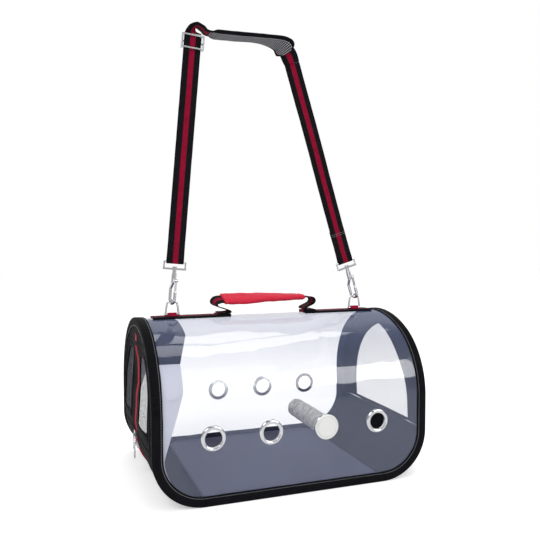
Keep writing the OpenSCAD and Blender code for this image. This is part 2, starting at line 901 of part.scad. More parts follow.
// Sprung lever that closes the hook from its pin down to the bill
module hook_gate() {
    color(col_chrome) rotate([0, 0, 90 + hook_turn]) translate([-hook_u, 0, 0]) difference() {
        along_y(-gate_t / 2, gate_t / 2) {
            translate([0, pivot_z]) circle(gate_boss);
            rect(-gate_half, gate_half, gate_foot, pivot_z);
            translate([0, gate_foot]) circle(gate_half);
        }
        translate([0, 0, pivot_z]) pin_y(pin_r + fit, -gate_t, gate_t);
    }
}

module hook_body_left() {
    at_left() hook_body();
}

module hook_body_right() {
    at_right() hook_body();
}

module gate_pin_left() {
    at_left() gate_pin();
}

module gate_pin_right() {
    at_right() gate_pin();
}

module hook_gate_left() {
    at_left() hook_gate();
}

module hook_gate_right() {
    at_right() hook_gate();
}

// Eye that the webbing goes through: base plate, two posts and a round bar
module hook_eye() {
    color(col_chrome) difference() {
        union() {
            translate([0, 0, eye_z]) linear_extrude(eye_t) {
                square([2 * eye_half, 2 * (barrel_r - 0.8)], center = true);
                for (s = [-1, 1]) translate([s * eye_half, 0]) circle(eye_bar + 0.4);
            }
            for (s = [-1, 1]) translate([s * eye_half, 0, 0]) {
                cylinder_from(eye_z + 1, eye_bar, eye_bar_z - eye_z - 1);
                translate([0, 0, eye_bar_z]) sphere(eye_bar);
            }
            translate([0, 0, eye_bar_z]) rotate([0, 90, 0])
                cylinder(r = eye_bar, h = 2 * eye_half, center = true);
        }
        cylinder_from(eye_z - 1, neck_r + fit, eye_t + 2);
    }
}

module hook_eye_left() {
    at_left() hook_eye();
}

module hook_eye_right() {
    at_right() hook_eye();
}

// Leg of the strap: round the eye's bar, a front layer, and a back layer up to back_top
module leg(front_top, back_top) {
    translate([0, 0, eye_bar_z]) along_x(-web_w / 2, web_w / 2) difference() {
        union() {
            circle(wrap_out);
            rect(-wrap_out, wrap_out, 0, wrap_lap);
        }
        circle(wrap_in);
        rect(-wrap_in, wrap_in, 0, wrap_out);
        rect(-wrap_out, wrap_out, wrap_lap, wrap_out);
    }
    for (q = [[-1, front_top], [1, back_top]]) along_x(-web_w / 2, web_w / 2)
        polygon([[q[0] * wrap_out, eye_bar_z], [q[0] * wrap_in, eye_bar_z],
            [q[0] * layer_gap / 2, eye_bar_z + wrap_rise], [q[0] * layer_gap / 2, q[1]],
            [q[0] * (layer_gap / 2 + web_t), q[1]], [q[0] * (layer_gap / 2 + web_t), eye_bar_z + wrap_rise]]);
}

module strap_left() {
    color(col_black) at_left() leg(left_len, left_len);
}

module strap_right() {
    color(col_black) at_right() leg(right_len, eye_bar_z + return_l);
}

module strap_top() {
    color(col_black) ribbon(strap_path, web_t / 2);
}

// Pad over the shoulder, with a slot that the webbing runs through
module shoulder_pad() {
    path = [for (i = [pad_first : pad_last]) strap_path[i]];
    wide = [for (p = path) [p[0], p[1], p[2], pad_w / 2]];
    slot = [for (p = path) [p[0], p[1], p[2], web_w / 2 + 2 * clear]];
    color(col_black) slotted_ribbon(wide, pad_t / 2, pad_t / 3, slot, web_t / 2 + clear);
}

// Three-bar slider round both layers of the left leg
module strap_slider() {
    color(col_chrome) at_left() translate([0, 0, glide_z]) {
        for (s = [-1, 1]) translate([s * (web_w / 2 + clear + glide_bar / 2), 0, 0])
            cube([glide_bar, 2 * glide_y, glide_h], center = true);
        for (s = [-1, 1]) translate([0, glide_bar / 2 - glide_y, s * (glide_h - glide_bar) / 2])
            cube([web_w + 2 * glide_bar, glide_bar, glide_bar], center = true);
        translate([0, glide_y - glide_bar / 2, 0])
            cube([web_w + 2 * glide_bar, glide_bar, glide_bar], center = true);
    }
}

clear_sheet();
bottom_panel();
base_board();
left_end_frame();
right_end_panel();
right_mesh();
binding_left();
binding_right();
binding_front();
binding_back();
zip_tail();
zip_top_stop();
front_eyelets();
front_eyelet_washers();
back_eyelets();
back_eyelet_washers();
perch();
perch_bolt();
perch_cap();
perch_washer();
ridge_webbing_left();
ridge_webbing_right();
handle_foot_left();
handle_foot_right();
ring_tab_left();
ring_tab_right();
front_flap();
front_flap_mesh();
zip_tape_front();
back_flap();
back_flap_mesh();
zip_tape_back();
handle_webbing();
handle_sleeve();
d_ring_left();
d_ring_right();
strap_left();
strap_right();
strap_top();
shoulder_pad();
hook_eye_left();
hook_eye_right();
strap_slider();
hook_body_left();
gate_pin_left();
hook_body_right();
gate_pin_right();
hook_gate_left();
hook_gate_right();
zip_slider_upper();
zip_slider_lower();
zip_pull_upper();
zip_pull_lower();
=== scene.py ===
"""Bird travel carrier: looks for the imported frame.

A clear vinyl tunnel on a black base, bound edges, a zipped door end, a mesh end, eyelets, a perch, a carry
handle and a striped shoulder strap on two swivel snap hooks. Everything is in metres in the frame's axes.
"""

import json
import logging
import math
from dataclasses import dataclass, field
from enum import Enum
from typing import Callable, Iterator, Sequence

import bmesh
import bpy
import numpy as np
from bpy.types import Material, Node, NodeSocket, NodeTree, Object
from mathutils import Vector, noise
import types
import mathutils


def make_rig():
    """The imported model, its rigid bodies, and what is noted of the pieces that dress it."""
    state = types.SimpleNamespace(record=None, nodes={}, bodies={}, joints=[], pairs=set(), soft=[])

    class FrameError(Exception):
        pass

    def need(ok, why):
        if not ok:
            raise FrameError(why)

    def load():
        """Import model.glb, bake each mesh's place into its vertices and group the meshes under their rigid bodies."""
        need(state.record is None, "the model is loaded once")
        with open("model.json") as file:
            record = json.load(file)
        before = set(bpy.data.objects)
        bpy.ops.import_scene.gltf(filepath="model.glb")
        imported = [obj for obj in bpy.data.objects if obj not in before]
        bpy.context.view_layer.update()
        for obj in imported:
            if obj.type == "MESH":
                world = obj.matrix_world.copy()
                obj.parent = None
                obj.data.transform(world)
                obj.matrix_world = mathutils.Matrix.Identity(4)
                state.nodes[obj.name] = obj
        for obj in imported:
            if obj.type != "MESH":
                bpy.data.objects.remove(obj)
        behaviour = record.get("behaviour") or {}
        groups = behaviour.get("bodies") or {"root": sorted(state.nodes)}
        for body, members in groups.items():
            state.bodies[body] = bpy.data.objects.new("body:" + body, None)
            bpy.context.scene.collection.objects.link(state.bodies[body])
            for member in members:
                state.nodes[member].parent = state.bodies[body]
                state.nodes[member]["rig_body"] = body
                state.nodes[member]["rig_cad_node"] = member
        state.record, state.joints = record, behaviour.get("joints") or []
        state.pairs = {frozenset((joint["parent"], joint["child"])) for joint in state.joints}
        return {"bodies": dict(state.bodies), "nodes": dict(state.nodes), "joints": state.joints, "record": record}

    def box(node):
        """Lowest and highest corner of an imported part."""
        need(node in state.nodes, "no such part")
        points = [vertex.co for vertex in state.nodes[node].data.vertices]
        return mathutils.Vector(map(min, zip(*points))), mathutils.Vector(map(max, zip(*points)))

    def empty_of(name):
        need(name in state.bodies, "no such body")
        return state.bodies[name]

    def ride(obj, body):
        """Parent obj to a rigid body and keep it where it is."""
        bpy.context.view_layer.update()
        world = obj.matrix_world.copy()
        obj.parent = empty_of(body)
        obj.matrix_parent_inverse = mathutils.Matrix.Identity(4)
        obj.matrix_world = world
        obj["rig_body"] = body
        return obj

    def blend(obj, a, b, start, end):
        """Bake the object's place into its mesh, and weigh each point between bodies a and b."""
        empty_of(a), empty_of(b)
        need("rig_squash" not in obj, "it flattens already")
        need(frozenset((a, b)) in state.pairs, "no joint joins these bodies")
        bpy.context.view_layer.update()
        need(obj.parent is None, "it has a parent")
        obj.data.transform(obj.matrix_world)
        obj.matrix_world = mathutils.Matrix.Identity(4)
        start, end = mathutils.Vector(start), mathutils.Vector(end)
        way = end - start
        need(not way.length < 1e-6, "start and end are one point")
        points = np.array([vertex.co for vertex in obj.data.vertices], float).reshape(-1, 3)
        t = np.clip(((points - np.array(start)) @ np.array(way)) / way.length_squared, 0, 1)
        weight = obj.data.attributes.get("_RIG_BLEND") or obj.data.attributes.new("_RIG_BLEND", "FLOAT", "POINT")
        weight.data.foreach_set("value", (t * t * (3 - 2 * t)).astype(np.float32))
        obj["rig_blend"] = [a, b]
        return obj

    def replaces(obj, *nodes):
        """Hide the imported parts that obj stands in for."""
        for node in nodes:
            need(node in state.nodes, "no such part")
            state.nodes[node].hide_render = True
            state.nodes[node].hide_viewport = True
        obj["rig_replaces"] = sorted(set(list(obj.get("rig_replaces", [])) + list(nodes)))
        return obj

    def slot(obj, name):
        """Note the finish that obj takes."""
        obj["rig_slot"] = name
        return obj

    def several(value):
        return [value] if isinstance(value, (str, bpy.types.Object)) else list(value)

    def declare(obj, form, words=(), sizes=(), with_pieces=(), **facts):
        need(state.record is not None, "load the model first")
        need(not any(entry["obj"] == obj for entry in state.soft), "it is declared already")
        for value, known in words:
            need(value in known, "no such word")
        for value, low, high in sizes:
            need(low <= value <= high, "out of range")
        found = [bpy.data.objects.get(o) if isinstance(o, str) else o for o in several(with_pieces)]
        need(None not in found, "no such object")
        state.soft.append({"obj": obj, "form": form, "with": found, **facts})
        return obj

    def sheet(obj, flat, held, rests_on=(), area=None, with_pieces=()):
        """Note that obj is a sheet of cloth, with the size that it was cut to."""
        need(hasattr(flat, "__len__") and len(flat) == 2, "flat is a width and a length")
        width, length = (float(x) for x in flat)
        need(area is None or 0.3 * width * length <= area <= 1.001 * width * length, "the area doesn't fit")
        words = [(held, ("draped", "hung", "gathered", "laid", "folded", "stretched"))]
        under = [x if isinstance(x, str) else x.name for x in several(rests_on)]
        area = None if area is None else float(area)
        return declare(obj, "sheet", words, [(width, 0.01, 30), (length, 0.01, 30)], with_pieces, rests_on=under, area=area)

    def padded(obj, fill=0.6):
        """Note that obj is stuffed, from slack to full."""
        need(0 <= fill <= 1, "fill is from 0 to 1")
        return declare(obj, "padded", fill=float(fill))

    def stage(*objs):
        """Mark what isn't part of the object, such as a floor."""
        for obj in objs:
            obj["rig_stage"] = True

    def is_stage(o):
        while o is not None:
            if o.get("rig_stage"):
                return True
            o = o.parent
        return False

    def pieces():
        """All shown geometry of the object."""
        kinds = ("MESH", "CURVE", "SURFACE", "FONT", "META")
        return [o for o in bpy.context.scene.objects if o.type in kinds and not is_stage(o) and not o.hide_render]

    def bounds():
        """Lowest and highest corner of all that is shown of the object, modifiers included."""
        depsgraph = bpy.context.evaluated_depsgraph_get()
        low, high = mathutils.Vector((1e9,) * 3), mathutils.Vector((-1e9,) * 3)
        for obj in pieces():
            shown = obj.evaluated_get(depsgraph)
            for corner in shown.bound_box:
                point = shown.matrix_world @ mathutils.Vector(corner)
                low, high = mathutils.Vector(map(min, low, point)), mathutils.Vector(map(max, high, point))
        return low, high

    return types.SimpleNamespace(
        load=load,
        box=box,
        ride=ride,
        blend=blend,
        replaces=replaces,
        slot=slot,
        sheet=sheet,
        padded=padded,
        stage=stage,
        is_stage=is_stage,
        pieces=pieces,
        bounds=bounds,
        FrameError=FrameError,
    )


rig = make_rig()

LOG = logging.getLogger("carrier")
MM = 0.001
Point2 = tuple[float, float]
# Half length, half width and height of a stitch or a tooth
Size3 = tuple[float, float, float]
Vec = np.ndarray


class Tint(Enum):
    """Colours of the object, as sRGB hex values."""

    VINYL = "#8F9CC8"
    FROST = "#DADBE6"
    OXFORD = "#0E0E11"
    OXFORD_LIGHT = "#1B1B20"
    # Painted reflection: the board's black cloth in grey, for the bright ground mirrored in the clear sheet
    FLOOR = "#585A6E"
    MESH = "#17171B"
    BINDING = "#0B0B0D"
    THREAD = "#8E8E92"
    WEBBING = "#0C0C0E"
    CRIMSON = "#A01235"
    CRIMSON_DARK = "#6E0C24"
    SLEEVE = "#D22F44"
    SLEEVE_DARK = "#A81F33"
    ZIP = "#C8233C"
    NICKEL = "#D9DADD"
    CAP = "#E6E6E4"
    STONE = "#DAD8D3"
    STONE_DARK = "#8E8B86"
    THREAD_DARK = "#232327"
    KNIT_LIGHT = "#C6C6CB"


class Side(Enum):
    """A side of the bag: the word for it in names, and its sign on X or Y."""

    LEFT = ("left", -1)
    RIGHT = ("right", 1)
    FRONT = ("front", -1)
    BACK = ("back", 1)

    def __init__(self, word: str, sign: int) -> None:
        """Keeps the word and the sign."""
        self.word = word
        self.sign = sign


class Slot(Enum):
    """The record's material slots that rebuilt pieces go by."""

    CLEAR_PVC = "clear_pvc"
    BLACK_FABRIC = "black_fabric"
    BLACK_MESH = "black_mesh"
    BINDING_TAPE = "binding_tape"
    FLOOR_BOARD = "floor_board"
    STRIPED_WEBBING = "striped_webbing"
    RED_ZIP_TAPE = "red_zip_tape"
    RED_PADDING = "red_padding"
    BLACK_PADDING = "black_padding"
    PERCH_STICK = "perch_stick"
    WHITE_CAP = "white_cap"


ENDS = (Side.LEFT, Side.RIGHT)
WALLS = (Side.FRONT, Side.BACK)


def linear(tint: Tint) -> tuple[float, float, float, float]:
    """Turns an sRGB hex colour to linear values.

    Args:
        tint: The named colour.

    Returns:
        Linear red, green, blue and an alpha of 1.
    """
    code = tint.value.lstrip("#")
    channels = [int(code[i:i + 2], 16) / 255 for i in (0, 2, 4)]
    curve = [c / 12.92 if c <= 0.04045 else ((c + 0.055) / 1.055) ** 2.4 for c in channels]
    return (curve[0], curve[1], curve[2], 1.0)


def vec(x: float, y: float, z: float) -> Vec:
    """Makes a place or a direction."""
    return np.array((x, y, z), dtype=float)


def smoothstep(value: float) -> float:
    """Eases a value from 0 to 1."""
    t = min(max(value, 0.0), 1.0)
    return t * t * (3 - 2 * t)


def add_node(tree: NodeTree, kind: str, values: dict | None = None, links: dict | None = None,
             **settings: object) -> Node:
    """Adds a node with its settings, socket values and incoming links.

    Args:
        tree: The node tree to add to.
        kind: The shader node's type.
        values: Socket name or index to the value it holds.
        links: Socket name or index to the output socket, or the node's first one, that feeds it.
        settings: Properties of the node itself.

    Returns:
        The new node.
    """
    node = tree.nodes.new("ShaderNode" + kind)
    for key, value in settings.items():
        setattr(node, key, value)
    for key, value in (values or {}).items():
        node.inputs[key].default_value = value
    for key, source in (links or {}).items():
        tree.links.new(source.outputs[0] if isinstance(source, Node) else source, node.inputs[key])
    return node


@dataclass(frozen=True)
class Finish:
    """A surface finish: a principled shader with a little variation, weave and wear."""

    name: str
    base: Tint
    # Colour of the patches, threads or wear, how much of it shows, from 0 to 1, and the patches' size
    second: Tint
    mix: float = 0.3
    patch_mm: float = 6.0
    roughness: float = 0.6
    metallic: float = 0.0
    # Cloth has a low index of refraction, because its threads scatter what a smooth face mirrors. A metal
    # doesn't use it and keeps the shader's default
    ior: float = 1.1
    sheen: float = 0.0
    # Spacing of the threads, 0 where nothing is woven
    thread_mm: float = 0.0
    # Size of the fine relief, its height and its strength
    grain_mm: float = 0.6
    relief_mm: float = 0.05
    bump: float = 0.6
    # On woven cloth, the share of the fine relief in the height, and of the patches in the colour
    fuzz: float = 0.3
    flecks: float = 0.5

    def shader(self) -> tuple[Material, NodeTree, Node]:
        """Makes the material with its main shader.

        Returns:
            The material, its node tree and its principled node.
        """
        material = bpy.data.materials.new(self.name)
        material.use_nodes = True
        tree = material.node_tree
        principled = tree.nodes["Principled BSDF"]
        values = {"Roughness": self.roughness, "Metallic": self.metallic, "Sheen Weight": self.sheen}
        if not self.metallic:
            values["IOR"] = self.ior
        for socket, value in values.items():
            principled.inputs[socket].default_value = value
        return material, tree, principled

    def pattern(self, tree: NodeTree) -> tuple[NodeSocket, NodeSocket]:
        """Makes the colour and the height of the surface.

        Args:
            tree: The material's node tree.

        Returns:
            The colour socket and the height socket, from 0 to 1.
        """
        place = add_node(tree, "TexCoord").outputs["Object"]
        patches = add_node(tree, "TexNoise", {"Scale": 1 / (self.patch_mm * MM), "Detail": 4.0}, {0: place})
        grain = add_node(tree, "TexNoise", {"Scale": 1 / (self.grain_mm * MM), "Detail": 2.0}, {0: place})
        height = grain.outputs["Fac"]
        amount = patches.outputs["Fac"]
        if self.thread_mm:
            weave = self.weave(tree, place, math.pi / (self.thread_mm * MM))
            height, amount = [add_node(tree, "Mix", {0: share}, {2: weave, 3: socket},
                                       data_type="FLOAT").outputs[0]
                              for socket, share in ((height, self.fuzz), (amount, self.flecks))]
        # Nearly all of a noise lies between 0.35 and 0.75
        shade = add_node(tree, "MapRange", {1: 0.35, 2: 0.75, 3: 0.0, 4: self.mix}, {0: amount})
        colour = add_node(tree, "Mix", {6: linear(self.base), 7: linear(self.second)},
                          {0: shade}, data_type="RGBA")
        return colour.outputs[2], height

    @staticmethod
    def weave(tree: NodeTree, place: NodeSocket, scale: float) -> NodeSocket:
        """Makes a plain weave that needs no unwrapping.

        Args:
            tree: The material's node tree.
            place: The position socket.
            scale: Turns of the thread's wave in a metre.

        Returns:
            A socket that runs from 0 to 1 over the threads.
        """
        split = add_node(tree, "SeparateXYZ", links={0: place})
        waves = []
        for axis in range(3):
            angle = add_node(tree, "Math", {1: scale}, {0: split.outputs[axis]}, operation="MULTIPLY")
            wave = add_node(tree, "Math", links={0: angle}, operation="SINE")
            waves.append(wave.outputs[0])
        first = add_node(tree, "Math", links={0: waves[0], 1: waves[1]}, operation="ADD")
        total = add_node(tree, "Math", links={0: first, 1: waves[2]}, operation="ADD")
        return add_node(tree, "MapRange", {1: -2.0, 2: 2.0, 3: 0.0, 4: 1.0}, {0: total}).outputs[0]

    def build(self) -> Material:
        """Builds the whole material.

        Returns:
            The material.
        """
        material, tree, principled = self.shader()
        colour, height = self.pattern(tree)
        tree.links.new(colour, principled.inputs["Base Color"])
        self.emboss(tree, principled, height)
        return material

    def emboss(self, tree: NodeTree, principled: Node, height: NodeSocket) -> None:
        """Gives the shader its relief.

        Args:
            tree: The material's node tree.
            principled: The main shader.
            height: The height socket, 1 for the whole relief.
        """
        bump = add_node(tree, "Bump", {"Strength": self.bump, "Distance": self.relief_mm * MM},
                        {"Height": height})
        tree.links.new(bump.outputs[0], principled.inputs["Normal"])


@dataclass(frozen=True)
class ClearVinyl(Finish):
    """Calendered soft PVC: clear and glossy, with a faint haze that thickens at a flat angle."""

    haze: float = 0.17
    flat_haze: float = 0.45

    def build(self) -> Material:
        """Builds the clear material.

        Returns:
            The material.
        """
        material, tree, principled = self.shader()
        principled.inputs["Base Color"].default_value = linear(self.base)
        facing = add_node(tree, "LayerWeight", {"Blend": 0.5})
        alpha = add_node(tree, "MapRange", {1: 0.0, 2: 1.0, 3: self.haze, 4: self.flat_haze},
                         {0: facing.outputs["Facing"]})
        tree.links.new(alpha.outputs[0], principled.inputs["Alpha"])
        return material


@dataclass(frozen=True)
class StripedWebbing(Finish):
    """Polyester webbing: ribs across its length and a crimson stripe woven down its middle third."""

    bump: float = 0.7
    stripe: float = 0.31
    soft: float = 0.02
    rib_mm: float = 1.6

    def build(self) -> Material:
        """Builds the striped material from the UV map, u across and v along, in metres.

        Returns:
            The material.
        """
        material, tree, principled = self.shader()
        uv = add_node(tree, "UVMap", uv_map="along")
        split = add_node(tree, "SeparateXYZ", links={0: uv})
        place = add_node(tree, "TexCoord").outputs["Object"]
        patches = add_node(tree, "TexNoise", {"Scale": 1 / (self.patch_mm * MM), "Detail": 3.0}, {0: place})
        across = add_node(tree, "Math", links={0: split}, operation="ABSOLUTE")
        stripe = add_node(tree, "MapRange",
                          {1: self.stripe - self.soft, 2: self.stripe + self.soft, 3: 1.0, 4: 0.0},
                          {0: across})
        red = add_node(tree, "Mix", {6: linear(Tint.CRIMSON), 7: linear(Tint.CRIMSON_DARK)},
                       {0: patches.outputs["Fac"]}, data_type="RGBA")
        black = add_node(tree, "Mix", {6: linear(self.base), 7: linear(self.second)},
                         {0: patches.outputs["Fac"]}, data_type="RGBA")
        colour = add_node(tree, "Mix", links={0: stripe, 6: black.outputs[2],
                                              7: red.outputs[2]}, data_type="RGBA")
        tree.links.new(colour.outputs[2], principled.inputs["Base Color"])
        turns = 2 * math.pi / (self.rib_mm * MM)
        angle = add_node(tree, "Math", {1: turns}, {0: split.outputs[1]}, operation="MULTIPLY")
        rib = add_node(tree, "Math", links={0: angle}, operation="SINE")
        self.emboss(tree, principled, rib.outputs[0])
        return material


@dataclass(frozen=True)
class OpenMesh(Finish):
    """Knitted mesh: thin cords with holes between them, drawn as coarse as they need to be to show."""

    mix: float = 0.5
    patch_mm: float = 9
    pitch_mm: float = 1.9
    cord: float = 0.19

    def build(self) -> Material:
        """Builds the mesh material: cords are opaque and the holes clear.

        Returns:
            The material.
        """
        material, tree, principled = self.shader()
        colour, height = self.pattern(tree)
        tree.links.new(colour, principled.inputs["Base Color"])
        place = add_node(tree, "TexCoord").outputs["Object"]
        split = add_node(tree, "SeparateXYZ", links={0: place})
        cords = []
        for axis in (1, 2):
            cell = add_node(tree, "Math", {1: 1 / (self.pitch_mm * MM)}, {0: split.outputs[axis]},
                            operation="MULTIPLY")
            part = add_node(tree, "Math", links={0: cell}, operation="FRACT")
            cords.append(add_node(tree, "Math", {1: self.cord}, {0: part}, operation="LESS_THAN").outputs[0])
        solid = add_node(tree, "Math", links={0: cords[0], 1: cords[1]}, operation="MAXIMUM")
        tree.links.new(solid.outputs[0], principled.inputs["Alpha"])
        return material


@dataclass(frozen=True)
class DottedKnit(Finish):
    """Spacer knit: a dark face with rows of light dots, and plain edges where the tape covers it."""

    bump: float = 0.7
    half_mm: float = 21.0
    pitch_mm: float = 3.2
    dot: float = 0.3
    soft: float = 0.3
    dotted: float = 0.72
    grain: float = 0.3

    def build(self) -> Material:
        """Builds the knit from the UV map, u across from -1 to 1 and v along, in metres.

        Returns:
            The material.
        """
        material, tree, principled = self.shader()
        uv = add_node(tree, "UVMap", uv_map="along")
        split = add_node(tree, "SeparateXYZ", links={0: uv})
        near = []
        for axis, unit_mm in ((0, self.half_mm), (1, 1 / MM)):
            cells = add_node(tree, "Math", {1: unit_mm / self.pitch_mm}, {0: split.outputs[axis]},
                             operation="MULTIPLY")
            part = add_node(tree, "Math", {1: 1.0}, {0: cells}, operation="PINGPONG")
            off = add_node(tree, "Math", {1: 0.5}, {0: part}, operation="SUBTRACT")
            square = add_node(tree, "Math", {1: 2.0}, {0: off}, operation="POWER")
            near.append(square.outputs[0])
        reach = add_node(tree, "Math", links={0: near[0], 1: near[1]}, operation="ADD")
        inner, outer = self.dot ** 2 * (1 - self.soft), self.dot ** 2 * (1 + self.soft)
        dot = add_node(tree, "MapRange", {1: inner, 2: outer, 3: 1.0, 4: 0.0}, {0: reach})
        side = add_node(tree, "Math", links={0: split}, operation="ABSOLUTE")
        inside = add_node(tree, "Math", {1: self.dotted}, {0: side}, operation="LESS_THAN")
        shown = add_node(tree, "Math", links={0: dot, 1: inside}, operation="MULTIPLY")
        colour, height = self.pattern(tree)
        dotted = add_node(tree, "Mix", {7: linear(Tint.KNIT_LIGHT)}, {0: shown, 6: colour}, data_type="RGBA")
        tree.links.new(dotted.outputs[2], principled.inputs["Base Color"])
        relief = add_node(tree, "Math", {1: self.grain}, {0: height}, operation="MULTIPLY")
        lowered = add_node(tree, "Math", links={0: relief, 1: shown}, operation="SUBTRACT")
        self.emboss(tree, principled, lowered.outputs[0])
        return material


class Finishes:
    """Every finish of the carrier, built once."""

    def __init__(self) -> None:
        """Builds the materials."""
        # Calendered PVC: a mirror-like film. Its alpha weakens the reflection too, so the index is raised
        # from PVC's 1.53 until the film shines as it does on the bag
        self.vinyl = ClearVinyl("soft_pvc_clear", Tint.VINYL, Tint.VINYL, roughness=0.07, ior=3.0).build()
        # The same film, frosted where it is doubled: pale, milky and nearly opaque
        self.frosted = ClearVinyl("soft_pvc_frosted", Tint.FROST, Tint.FROST, roughness=0.4, ior=1.53,
                                  haze=0.93, flat_haze=0.97).build()
        # Oxford polyester, PU backed: dull black with a fine square weave
        self.oxford = Finish("polyester_oxford_black", Tint.OXFORD, Tint.OXFORD_LIGHT, mix=0.8, patch_mm=14,
                             roughness=0.62, thread_mm=0.6, relief_mm=0.04).build()
        # The same black cloth round the stiff floor board; its grey is painted reflection of the bright ground in the
        # sheet
        self.floor = Finish("polyester_oxford_grey", Tint.FLOOR, Tint.OXFORD_LIGHT, mix=0.35, patch_mm=40,
                            roughness=0.55, thread_mm=0.6, relief_mm=0.04).build()
        # Knitted polyester mesh, open enough to look through
        self.mesh = OpenMesh("polyester_mesh_black", Tint.MESH, Tint.OXFORD_LIGHT).build()
        # The door's mesh is knitted closer, so it reads almost black from the side
        self.dense_mesh = OpenMesh("polyester_mesh_dense", Tint.MESH, Tint.OXFORD_LIGHT, pitch_mm=1.5,
                                   cord=0.34).build()
        # Grosgrain binding tape: fine ribs and a dull sheen
        self.binding = Finish("grosgrain_binding", Tint.BINDING, Tint.OXFORD_LIGHT, mix=0.7, patch_mm=10,
                              roughness=0.6, thread_mm=0.8, relief_mm=0.1).build()
        # Twisted polyester thread in grey: light dashes with a soft sheen
        self.thread = Finish("polyester_thread", Tint.THREAD, Tint.THREAD, mix=0.0, patch_mm=2, roughness=0.5,
                             sheen=0.2).build()
        # The same thread dyed black: seen by its relief alone
        self.thread_dark = Finish("polyester_thread_black", Tint.THREAD_DARK, Tint.THREAD_DARK, mix=0.0,
                                  patch_mm=2, roughness=0.5, sheen=0.1).build()
        # Polyester webbing, woven with a stripe: ribs that catch the light in rows
        self.webbing = StripedWebbing("polyester_webbing_striped", Tint.WEBBING, Tint.OXFORD_LIGHT, mix=0.5,
                                      patch_mm=7, roughness=0.55, relief_mm=0.2).build()
        # Webbing dyed crimson throughout, for the rings' tabs: deep red with a coarse weave
        self.tab = Finish("polyester_webbing_crimson", Tint.CRIMSON, Tint.CRIMSON_DARK, mix=0.7, patch_mm=4,
                          roughness=0.55, sheen=0.03, thread_mm=0.9, relief_mm=0.15).build()
        # Knitted spacer cloth: black, with rows of light dots set a little below its face
        self.airmesh = DottedKnit("polyester_spacer_knit", Tint.OXFORD, Tint.OXFORD_LIGHT, mix=0.5,
                                  patch_mm=8, roughness=0.65, relief_mm=0.3).build()
        # Red oxford cloth over foam: bright, with a weave that shows close by
        self.sleeve = Finish("polyester_oxford_red", Tint.SLEEVE, Tint.SLEEVE_DARK, mix=0.55, patch_mm=12,
                             roughness=0.5, sheen=0.04, thread_mm=0.8, relief_mm=0.1).build()
        # Woven zip tape, dyed red: fine threads and a slight fuzz
        self.zip = Finish("polyester_zip_tape", Tint.ZIP, Tint.SLEEVE_DARK, mix=0.6, patch_mm=5,
                          roughness=0.5, sheen=0.1, thread_mm=0.7, relief_mm=0.1).build()
        # Bright nickel plate on steel wire and zinc castings: a soft mirror
        self.nickel = Finish("nickel_plate", Tint.NICKEL, Tint.THREAD, mix=0.25, patch_mm=3, roughness=0.13,
                             metallic=1.0, relief_mm=0.01).build()
        # ABS disc, injection moulded: smooth, glossy white
        self.cap = Finish("abs_white", Tint.CAP, Tint.NICKEL, mix=0.15, patch_mm=8, roughness=0.25, ior=1.5,
                          relief_mm=0.01).build()
        # Mineral grit bonded on a stick: rough, mottled grey
        self.stone = Finish("bonded_grit", Tint.STONE, Tint.STONE_DARK, mix=0.9, patch_mm=7, roughness=0.9,
                            grain_mm=1.2, relief_mm=0.9).build()


def smooth_path(points: Sequence[Sequence[float]], steps: int) -> list[Vec]:
    """Runs a smooth curve through points of any width.

    Args:
        points: The points to pass through.
        steps: Steps in each stretch.

    Returns:
        Points along the curve, both ends included.
    """
    p = [np.array(q, dtype=float) for q in points]
    last = len(p) - 1
    out = []
    for i in range(last):
        a, b, c, d = p[max(i - 1, 0)], p[i], p[i + 1], p[min(i + 2, last)]
        for k in range(steps):
            t = k / steps
            out.append(0.5 * (2 * b + t * (c - a) + t * t * (2 * a - 5 * b + 4 * c - d)
                              + t ** 3 * (3 * b - a - 3 * c + d)))
    return out + [p[last]]


def ripple(x: float, y: float, z: float, size: float) -> float:
    """Gives smooth noise from about -1 to 1 at a place, the same in each run, with ripples of some size."""
    return noise.noise(Vector((x / size, y / size, z / size)))


